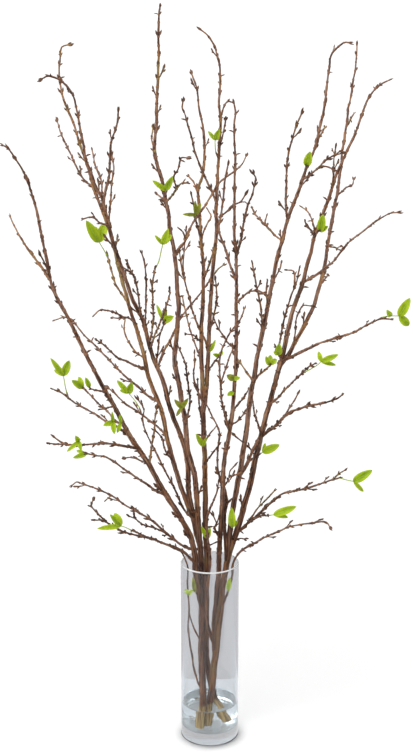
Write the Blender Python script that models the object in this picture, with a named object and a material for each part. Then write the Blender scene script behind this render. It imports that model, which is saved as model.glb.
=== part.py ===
"""Budding branches standing in a clear glass cylinder vase with a little water.

Three woody branches fork into tall shoots and fine side twigs with pairs of buds.
Small green leaf sprigs grow from the ends of some twigs.
The unit is the metre and +Z is up. The origin is the middle of the vase's flat foot.
"""

import math
import random

import bmesh
import bpy
from mathutils import Vector

MM = 0.001
CM = 0.01

# The glass cylinder and its water. GAP is the space between pieces that only touch.
VASE_RADIUS = 50 * MM
VASE_HEIGHT = 324 * MM
VASE_WALL = 3 * MM
VASE_BASE = 20 * MM
FOOT_ROUNDING = 2.5 * MM
RIM_ROUNDING = 1.2 * MM
FLOOR_ROUNDING = 4 * MM
VASE_SIDES = 36
WATER_LEVEL = 62 * MM
GAP = 0.3 * MM
HOLE_DEPTH = 3 * MM

# The viewing point that the routes below are read from. A route point gives centimetres
# across and up on the upright plane through the vase's axis, as seen from here.
EYE = Vector((-0.0056, -2.2, 1.236))

# Stems. Radii are in millimetres, and lengths along a route are in centimetres.
TRUNK_FROM = 5.5
TWIG_BELOW = 2.4
TRUNK_SIDES = 6
SHOOT_SIDES = 5
TWIG_SIDES = 4
CURVE_STEP = 0.8
CURVE_SLACK = 0.18
STOUT_FROM = 2.65
STOUT_TAPER = 1.3
TWIG_TAPER = 0.8
HOLE_CLEAR = 0.45

# Buds. Spacing runs along the stem in centimetres, and the other sizes are millimetres.
BUD_SPACING = 20
BUD_FROM_TIP = 1.3
BUD_LENGTH = 8.5
BUD_WIDTH = 2.6
BUD_WIDEST = 0.62
BUDS_BELOW = 2.9
BUD_SPREAD_DEG = 38
BUD_SIDES = 3
BUD_SEED = 7

# Leaf sprigs, in millimetres except BROAD_FROM, a width in centimetres. A station is the
# share of a blade's length and of its full width. Fold and bow lift the edges and middle.
STALK_RADIUS = 0.8
STALK_SIDES = 4
STALK_LEAD = 1.5
BLADE_SUNK = 0.4
BLADE_THICKNESS = 0.7
BLADE_FOLD = 0.45
BLADE_BOW = 0.08
BROAD_FROM = 0.85
BROAD_STATIONS = ((0.26, 0.98), (0.66, 0.98))
NARROW_STATIONS = ((0.5, 1.15),)

# Faces this flat to each other are merged, and edges this sharp are shaded as creases.
FLAT_DEG = 1
SHARP_DEG = 50

BARK_BROWN = (0.145, 0.085, 0.060)
LEAF_GREEN = (0.330, 0.480, 0.060)
GLASS_TINT = (0.900, 0.930, 0.950)
WATER_TINT = (0.860, 0.910, 0.930)

# Each row is a shoot or twig: its name, what it forks from, its route, and the radii in
# millimetres at its start and tip. A route point is (across, up) or (across, up, depth) in
# centimetres. Depth runs away from the viewer, and points without one lie evenly between.
LEFT_BRANCH = [
    ("trunk", None, [(-1.5, 1.2, -1.8), (-1.2, 6, -1.4), (-1.3, 10, -1), (-1.4, 15, -0.4),
     (-1.4, 20, 0.1), (-1.4, 25, 0.5), (-1.4, 29, 0.8), (-1.5, 32.5, 0.9), (-1.7, 35.5, 0.9),
     (-2.1, 37.8, 0.8)], 6.3, 5.0),
    ("far_left", "trunk", [(-1.5, 24), (-2, 27.5, -0.6), (-2.4, 30.5, -1.2), (-2.6, 33.5, -1.6),
     (-3.3, 37), (-4.6, 39.7), (-6.3, 42.7), (-7.9, 45.4), (-9.1, 47.6), (-10.3, 50),
     (-11.5, 51.9), (-12.9, 54), (-14.2, 56.4), (-15.3, 58.9), (-17.2, 62.5), (-19.1, 66.2),
     (-21.1, 70.5), (-22.6, 73.8), (-23.9, 76.5), (-25.4, 79.8), (-26, 82), (-26.4, 84.4),
     (-27.2, 89), (-27.7, 92), (-28.6, 95.7), (-29.6, 98.7), (-30.7, 100.7), (-32, 102.6),
     (-32.8, 103.1, -16)], 5.1, 1.2),
    ("far_left_fork", "far_left", [(-25.9, 81.3), (-27.2, 83.4), (-28.7, 85.5), (-30, 87.5),
     (-31.1, 89.4), (-31.9, 90.7), (-32.3, 91.6, -6)], 2.15, 1.2),
    ("far_left_small", "far_left", [(-26, 81.8), (-26.6, 83.8), (-27.3, 85.3, -14)], 1.55, 1.2),
    ("low_left_shoot", "far_left", [(-7.2, 44.4), (-9.1, 45.3), (-11, 46.6), (-13, 48),
     (-14.3, 49), (-16, 50.3), (-17.6, 51.3), (-19, 51.5), (-20.4, 51.8, -14)], 2.05, 1.3),
    ("curled_left", "far_left", [(-10.4, 50.3), (-11.4, 50.5), (-12.4, 51), (-13.3, 51.2),
     (-14.1, 51.1, -1)], 1.55, 1.2),
    ("level_left", "far_left", [(-11.8, 52.6), (-13.2, 53), (-15, 53.3), (-17.5, 53.6),
     (-20, 53.5), (-22.3, 53.4), (-24.2, 53.5), (-26.7, 53.6, -20)], 2.25, 1.2),
    ("level_left_tip", "level_left", [(-24, 53.5), (-25, 53.9), (-25.9, 54.6, -18)], 1.45, 1.2),
    ("leafy_left", "far_left", [(-13.1, 54.4), (-14.4, 55.7), (-16, 56.9), (-17.5, 57.6),
     (-19.2, 58.8), (-21, 59.8), (-22.3, 60.6), (-23.7, 61.7), (-24.7, 62.5), (-25.8, 63, -3)],
     2.05, 1.2),
    ("leafy_left_spur", "leafy_left", [(-23.6, 61.6), (-23.8, 62.6, -4.5)], 1.25, 1.25),
    ("round_leaf_twig", "far_left", [(-14.4, 56.7), (-15.7, 57.6), (-17.1, 59.2), (-18.6, 60.7),
     (-19.9, 62.1), (-20.9, 63.1, 4)], 1.75, 1.3),
    ("side_leaf_twig", "far_left", [(-17.2, 62.5), (-18.5, 62.8), (-19.7, 63.1, -13)], 1.45, 1.3),
    ("short_left", "far_left", [(-16, 60.2), (-17.2, 59.8), (-18.3, 59.6, -12)], 1.45, 1.2),
    ("tall_left", "trunk", [(-1.9, 35), (-2.4, 38), (-3, 40.8), (-3.9, 43), (-4.7, 45.4),
     (-5.5, 48.2), (-6.1, 50.3), (-6.7, 52.8), (-7.3, 55.3), (-7.7, 58), (-8.5, 60.8), (-9.4, 63),
     (-10.2, 65.5), (-10.7, 68), (-11.3, 70.7), (-12.2, 73.8), (-13, 76.4), (-13.9, 80),
     (-14.9, 84), (-15.9, 88.5), (-17, 92), (-18.3, 95.5), (-19, 97.9), (-19.7, 100.6),
     (-20.6, 103.3), (-21.6, 106.7), (-22.8, 109.8), (-23.4, 112), (-23.6, 114.8), (-23.4, 117),
     (-23.1, 118.3), (-22.2, 118.6, 14)], 4.3, 1.2),
    ("tall_left_side", "tall_left", [(-18.7, 96.5), (-20, 97.7), (-21.2, 99.6), (-22, 101.5),
     (-23, 103.6), (-23.6, 105), (-24.1, 106.8, 20)], 1.85, 1.2),
    ("long_cross", "tall_left", [(-8.6, 61), (-10.4, 62), (-12.1, 63.7), (-13.5, 64.8),
     (-15, 66.3), (-16.5, 68), (-17.8, 69.4), (-19.3, 71), (-20.5, 72.1), (-21.6, 73.6),
     (-22.7, 75), (-24, 75.3), (-25.2, 74.9, 12)], 2.15, 1.2),
    ("cross_upper", "tall_left", [(-10.3, 66.4), (-12, 67), (-13.7, 67.8), (-15, 68.3),
     (-16, 69.2), (-17.2, 70.4), (-18.5, 71.4, -4)], 2.05, 1.2),
    ("inner_curve", "tall_left", [(-10.7, 68.5), (-11.9, 69.1), (-12.9, 70.3), (-13.7, 71.8),
     (-14.1, 73.4), (-13.9, 74.9, 14)], 1.65, 1.2),
    ("left_arch", "tall_left", [(-12.3, 74.4), (-13.2, 75.1), (-14.4, 75.4), (-15.5, 76.1),
     (-16.8, 76.4), (-18.1, 76.4), (-18.8, 75.8, -1)], 1.75, 1.2),
    ("left_arch_low", "left_arch", [(-13.7, 75.3), (-14.8, 75.1), (-15.8, 75.2, 8)], 1.45, 1.2),
    ("long_stalk", "tall_left", [(-13.2, 77.6), (-14.4, 79.2), (-15.4, 81), (-16, 83),
     (-16.5, 85.1, 12)], 1.65, 1.3),
    ("thin_up_left", "tall_left", [(-2.9, 40.2), (-3.9, 41.2), (-4.7, 42.5), (-5.3, 43.9),
     (-6, 45.6), (-6.7, 47.1), (-7.4, 48.5), (-8.2, 50.2), (-8.9, 51.8), (-9.6, 53.3),
     (-10.3, 54.8), (-11, 56.6), (-11.2, 58.2), (-11, 59.6), (-11.8, 61.1, 8)], 1.95, 1.2),
    ("up_twig", "far_left", [(-10.1, 49.9), (-9.9, 52), (-9.6, 54), (-9.3, 56), (-9.1, 58),
     (-8.9, 59.6, -8)], 1.75, 1.2),
    ("inner_twig", "tall_left", [(-6.3, 50.6), (-7.2, 51.8), (-7.7, 53.1), (-7.9, 54.3),
     (-8.5, 55.2), (-9.1, 55.8, -1)], 1.55, 1.2),
    ("left_reach", "tall_left", [(-7.2, 55), (-8.3, 56.1), (-9.4, 57.1), (-10.6, 58.1),
     (-12, 59.2), (-13.1, 59.9), (-14.2, 60.7), (-15, 61.5), (-15.8, 62.4), (-16.7, 63.1, 10)],
     1.85, 1.2),
    ("left_reach_spur", "left_reach", [(-11.4, 58.8), (-11.7, 59.8, 4)], 1.25, 1.25),
    ("low_left_long", "trunk", [(-1.8, 34.6), (-3.6, 34.8, 1), (-5.1, 35.6), (-6.6, 36.8),
     (-7.9, 38), (-9.2, 39.3), (-10.7, 40.5), (-12.4, 41.5), (-13.8, 42.3), (-15.1, 43.2),
     (-16.4, 44.2), (-18.1, 45.1), (-20, 46), (-21.8, 46.5), (-22.5, 46.8), (-23.2, 46.3, 8)],
     2.45, 1.2),
    ("low_left_knob", "low_left_long", [(-16.7, 44.4), (-17.5, 43.7, 5)], 1.55, 1.3),
    ("low_left_under", "trunk", [(-1.5, 30.8), (-2.4, 32, -1.6), (-3.6, 33.2, -2.6), (-4.7, 34.3),
     (-6.5, 35.1), (-8.5, 36), (-10.2, 36.7), (-12, 37), (-13.7, 37.5), (-15.2, 38), (-16.2, 38.6),
     (-17.3, 39.3), (-18.4, 40.4), (-19.8, 42), (-20.2, 42.6), (-19.9, 43.4, -14)], 2.55, 1.2),
    ("low_left_fork", "low_left_under", [(-17.2, 39.4), (-18.3, 39.9), (-19.5, 39.9, -15)], 1.45,
     1.2),
    ("low_left_small", "low_left_long", [(-7.2, 37.6), (-8.5, 38.1), (-9.7, 38.6), (-11, 39),
     (-12.1, 39.6), (-12.8, 40.5), (-13.1, 41.9, -4)], 1.55, 1.2),
    ("low_left_leafy", "low_left_under", [(-10.2, 36.7), (-11.3, 37.1), (-12.2, 37.6),
     (-13.1, 38, -12)], 1.55, 1.3),
    ("glass_twig", "trunk", [(-1.3, 8), (-2.1, 9.8, -1.4), (-2.7, 12.3, -1.2), (-3, 14.5, -1),
     (-3.4, 17, -0.9), (-3.7, 20, -0.8), (-3.6, 22.5, -0.8), (-3.6, 25, -0.8), (-3.8, 28, -0.8),
     (-3.7, 30, -0.8), (-3.8, 31.6, -1), (-4.4, 33.2, -1.4), (-5, 34.2, -1.8), (-5.9, 34.8, -2.6)],
     1.75, 1.2),
    ("glass_twig_leg", "trunk", [(-1.5, 17.2), (-2.4, 19.2, -0.6), (-3, 20.9, -0.8),
     (-3.6, 22.9, -0.8)], 1.55, 1.3),
    ("tall_mid", "trunk", [(-1.95, 36), (-2.5, 39), (-3, 41.6), (-3.4, 44), (-3.7, 47), (-3.7, 50),
     (-4.2, 52.8), (-5, 55.2), (-6, 57.9), (-6.9, 60.8), (-7.6, 63.8), (-8.6, 66.6), (-9.6, 69.3),
     (-10.3, 72), (-11.1, 75), (-12.5, 77.9), (-13.6, 81.2), (-14.6, 84.4), (-15.7, 87.9),
     (-16.4, 91), (-17.2, 94.4), (-18.2, 96.5), (-19, 98.9), (-19.8, 101.3), (-20.1, 103.5),
     (-20.6, 106.3), (-21, 108.5), (-21.3, 110.4), (-21.9, 111.7), (-23.4, 113.2), (-25.2, 113.9),
     (-26.2, 113.5, -5)], 4.6, 1.2),
    ("tall_mid_fork", "tall_mid", [(-17, 94.2), (-16.6, 96.3), (-16.1, 98.5), (-15.9, 101),
     (-15.7, 103.5), (-15, 105.4), (-14.6, 107), (-14.5, 108.3, -11)], 2.15, 1.3),
    ("tall_mid_short", "tall_mid", [(-16.2, 90.8), (-16, 93.5), (-15.8, 96), (-15.5, 98.2),
     (-15.3, 99.6), (-15.6, 101.6, 3)], 1.75, 1.2),
    ("tall_mid_thin", "tall_mid", [(-17.1, 94.8), (-17.3, 97.3), (-17.8, 98.8), (-18.3, 100.3),
     (-18.7, 102.3, 6)], 1.55, 1.2),
    ("left_hook", "tall_mid", [(-16.2, 90.4), (-17.7, 90.8), (-18.4, 91.5), (-19.2, 91.8),
     (-20.2, 91.5, -8)], 1.55, 1.2),
    ("inner_one", "tall_mid", [(-11.1, 75), (-11.5, 77.2), (-11.7, 79.3), (-12, 81), (-12.7, 82.7),
     (-13.4, 84.4, -13)], 1.55, 1.2),
    ("inner_one_fork", "inner_one", [(-12.5, 82.4), (-13.4, 83.1), (-14.2, 83.6, -13)], 1.45, 1.2),
    ("inner_two", "tall_mid", [(-10.7, 73.6), (-10.5, 76), (-10.4, 79), (-10.4, 82), (-10.6, 84.3),
     (-11, 85.8, -9)], 1.55, 1.2),
    ("inner_three", "tall_mid", [(-9.9, 70.9), (-9.5, 73), (-9.3, 75), (-9.3, 77.5), (-9.4, 80),
     (-9.1, 82.3), (-8.9, 83.3, -18)], 1.65, 1.3),
    ("inner_four", "tall_mid", [(-9.7, 70), (-9.1, 72.2), (-8.3, 74), (-7.7, 75.6), (-7.1, 77.3),
     (-6.6, 78.8), (-6.6, 79.8, -19)], 1.65, 1.2),
    ("leaf_stalk_mid", "tall_mid", [(-8.8, 67.3), (-8.5, 70), (-8.2, 72.3), (-7.6, 74, -4)], 1.55,
     1.3),
    ("diagonal_right", "tall_mid", [(-8.6, 66.8), (-7.9, 68.8), (-7.2, 70.3), (-6.4, 71.8),
     (-5.7, 73.2), (-5, 74.8), (-4.1, 76.2), (-2.9, 77.6), (-2, 78.7), (-1.1, 79.8),
     (-0.2, 81.1, 15)], 2.15, 1.2),
    ("tallest", "trunk", [(-1.65, 34), (-1.8, 38), (-2.1, 41), (-2.3, 45), (-2.6, 48),
     (-3.2, 50.5), (-3.8, 52.7), (-4, 55.5), (-4.2, 58), (-4.7, 61), (-5.1, 64), (-5.6, 66.5),
     (-5.8, 68.6), (-5.6, 71), (-5.3, 74), (-5.1, 77), (-5.3, 80), (-5.5, 83.5), (-5.9, 87),
     (-6.5, 90), (-6.7, 92.3), (-7.1, 94.6), (-7.6, 97.2), (-8.3, 99.8), (-8.8, 102.2),
     (-8.7, 104.3), (-8.4, 107), (-8.4, 110), (-8.2, 113.5), (-8, 117.5), (-8, 121),
     (-7.8, 125, -14)], 4.8, 1.4),
    ("tallest_right", "tallest", [(-6.8, 94.2), (-5.9, 95.5), (-5.3, 96.4), (-4.6, 97.1),
     (-3.7, 97.2, -17)], 1.55, 1.2),
    ("tallest_up", "tallest_right", [(-5.5, 96.4), (-5.8, 98.2), (-5.1, 99.4), (-4.8, 100.6),
     (-4.6, 101.2), (-3.8, 101.2, -20)], 1.45, 1.2),
    ("tallest_left", "tallest", [(-6.9, 94), (-7.7, 94.8), (-8.4, 95.4, -6)], 1.45, 1.2),
    ("tallest_stub", "tallest", [(-8.8, 102.6), (-9.2, 104), (-9.1, 105.2), (-9, 105.9, -7)], 1.45,
     1.2),
    ("tallest_spur", "tallest", [(-6.95, 95.3), (-7.1, 95.9, -12.2)], 1.25, 1.25),
    ("olive_spur", "tallest", [(-4.4, 59.3), (-4.6, 59.7, -5.3)], 1.25, 1.25),
    ("long_diagonal", "tallest", [(-5.7, 85.6), (-4.9, 86.7), (-4, 87.8), (-3.4, 89.3),
     (-2.7, 90.9), (-1.9, 92.1), (-0.9, 93.4), (-0.1, 94.7), (0.7, 96), (1.6, 97.3), (3, 98.4),
     (4.3, 99.4), (5.2, 100.3), (5.7, 101.4, -6)], 2.15, 1.2),
    ("diagonal_spur", "long_diagonal", [(-3.8, 88.2), (-4.4, 89.3), (-5.2, 90.1, -12)], 1.25,
     1.25),
    ("diagonal_leaf_spur", "long_diagonal", [(-2.4, 91.3), (-2.3, 91.9, -9.8)], 1.25, 1.25),
    ("tallest_low", "tallest", [(-4.1, 57.2), (-3.6, 59), (-3.3, 61), (-3.5, 63.5), (-3.9, 66),
     (-4.1, 67.5), (-4.6, 68.9), (-5.2, 70.5, -13)], 1.65, 1.2),
    ("strip_leaf_spur", "far_left", [(-14.3, 56.8), (-14.8, 57.1, -9)], 1.25, 1.25),
    ("curl_leaf_spur", "leafy_left", [(-15.9, 56.8), (-16.1, 57.2, -7.5)], 1.25, 1.25),
    ("level_leaf_spur", "level_left", [(-21.9, 53.4), (-22, 53.8, -17.5)], 1.25, 1.25),
    ("glass_leaf_spur", "glass_twig", [(-3.65, 25.8), (-3.6, 26.2, -1.6)], 1.25, 1.25),
    ("glass_long_spur", "far_left", [(-1.8, 26), (-2.4, 26.6, -1.3)], 1.25, 1.25),
]

CENTRE_BRANCH = [
    ("trunk", None, [(2, 2.65, 0.8), (1, 6, 1.2), (0.3, 8.8, 1.5), (-0.2, 11.5, 1.6),
     (-0.6, 14.5, 1.7), (-0.7, 18, 1.9), (-0.6, 22, 2.1), (-0.6, 26, 2.4), (-0.5, 30, 2.5),
     (-0.5, 33.5, 2.6), (-0.7, 37, 2.7), (-0.8, 42, 2.9), (-0.8, 47, 3.2), (-0.9, 52), (-1.1, 57),
     (-1.1, 61), (-1.3, 65), (-1.4, 69), (-1.4, 73), (-1.2, 76.5), (-1.1, 80), (-1.1, 84),
     (-1.4, 87.5), (-1.6, 91.5), (-1.8, 94), (-1.9, 96.3), (-1.3, 98.2), (-1, 99.8), (-0.9, 102),
     (-1, 104.5), (-1.2, 106.5), (-1.7, 108.7), (-1.9, 110.7), (-2.1, 112.3), (-2.8, 114.1, 16)],
     5.9, 1.3),
    ("tall_centre", "trunk", [(-1.05, 59), (-0.7, 62), (-0.5, 65), (-0.3, 69), (-0.1, 73), (0, 76),
     (0.2, 80), (0.4, 83), (0.8, 86.5), (1.1, 89.5), (1, 92.5), (1.1, 95.5), (1.2, 98.5),
     (1.4, 101.5), (1.5, 104.5), (1.7, 107), (1.4, 109.5), (1.5, 111.5), (1.6, 113.5),
     (1.5, 115.3), (1.1, 116.8), (0.8, 118.2), (0.3, 119.2), (-0.5, 120.2), (-1.3, 120.8, 5)], 3.9,
     1.2),
    ("slant_centre", "tall_centre", [(1, 94), (0.4, 95.7), (-0.4, 97.3), (-1.3, 99.2),
     (-1.9, 100.8), (-2.4, 102.2), (-3, 104.6), (-3.5, 106.4), (-3.9, 107.8), (-4.4, 109),
     (-4.3, 109.9, -3)], 1.95, 1.2),
    ("centre_left_tip", "trunk", [(-1.4, 88.5), (-2.1, 90.6), (-2.4, 92.2), (-2.6, 93.8),
     (-2.9, 95.2, 5)], 1.65, 1.2),
    ("centre_small", "trunk", [(-1.85, 95.4), (-2.4, 96.9), (-2.7, 97.5), (-3.3, 98.2, 18)], 1.45,
     1.2),
    ("centre_cross", "trunk", [(-1, 81.5), (-0.4, 83.3), (0.1, 84.9), (0.8, 86.8, 5)], 1.85, 1.4),
    ("curl_low", "tall_centre", [(1.4, 102.2), (1.8, 104), (2.1, 105.3), (2.4, 107, -1)], 1.45,
     1.2),
    ("curl_high", "tall_centre", [(1.6, 107.2), (1.9, 108.3), (2.3, 109.5), (2.8, 110),
     (3.4, 109.9, 11)], 1.45, 1.2),
    ("high_leaf_spur", "tall_centre", [(1.3, 101), (0.9, 102.1, 3.5)], 1.25, 1.25),
    ("bent_twig", "trunk", [(-1.3, 87.9), (-1, 89.5), (-0.4, 90.8), (0.2, 91.8), (-0.3, 92.8, 14)],
     1.55, 1.2),
    ("right_twig", "tall_centre", [(-0.1, 72.6), (0.4, 74.5), (0.8, 76.3), (1.1, 78), (1.1, 79.7),
     (0.9, 81.4, -2)], 1.65, 1.2),
    ("right_upper", "tall_centre", [(0.4, 81.8), (0.9, 82.7), (1.5, 83.5), (2.1, 83.9, 9)], 1.45,
     1.2),
    ("left_climb", "tall_centre", [(-0.3, 68.8), (-0.7, 71), (-1.5, 72.8), (-2.3, 74.6),
     (-2.9, 76.5), (-3.4, 78.6), (-3.9, 80.6), (-4.4, 82.6), (-4.7, 84.3), (-4.9, 85.8, 4)], 1.95,
     1.2),
    ("left_climb_twin", "left_climb", [(-4.1, 81.8), (-4.4, 84), (-4.2, 86), (-4.1, 87.8, 7)],
     1.45, 1.2),
    ("left_knotty", "trunk", [(-1.15, 60.5), (-1.9, 62.5), (-2.5, 64.2), (-2.7, 65.7),
     (-2.5, 67.4), (-2.5, 69, 7)], 1.75, 1.2),
    ("left_wavy", "trunk", [(-1.35, 68.4), (-2, 69.6), (-2.5, 70.8), (-3, 72.4), (-3.5, 74),
     (-3.8, 75.6), (-4.2, 77.3), (-4.4, 78.4, 15)], 1.65, 1.2),
    ("left_stub", "trunk", [(-1.4, 71.2), (-2.1, 71.7), (-2.8, 72.3), (-3.8, 72.5, 3)], 1.45, 1.2),
    ("low_right", "trunk", [(-0.9, 50.2), (-0.1, 51.2), (0.7, 52.3), (1.5, 53.3, 1)], 1.65, 1.2),
    ("low_leaf_twig", "trunk", [(-1, 53), (-0.6, 54.2), (0, 55.3), (0.9, 56.4, 7)], 1.45, 1.2),
    ("low_dark", "trunk", [(-1.05, 56.8), (-1.5, 58.5), (-1.8, 60.5), (-1.9, 62.5), (-2, 64.5, 0)],
     1.55, 1.2),
    ("leaf_twig", "tall_centre", [(-0.4, 66.2), (0.3, 67.1), (0.9, 68), (1.3, 68.5, 2)], 1.65,
     1.3),
    ("slender_spur", "tall_centre", [(-0.3, 68.8), (0.05, 69.4, 3)], 1.25, 1.25),
    ("mid_leaf_spur", "trunk", [(-0.95, 52.6), (-1.1, 53.1, 2.2)], 1.25, 1.25),
    ("rim_leaf_spur", "trunk", [(-0.6, 35.6), (-0.45, 36.4, 1.4)], 1.25, 1.25),
    ("rim_stub", "trunk", [(-0.6, 34.8), (-0.1, 35.3, 3.4), (0.7, 35.7, 3.9)], 1.45, 1.2),
]

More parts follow.
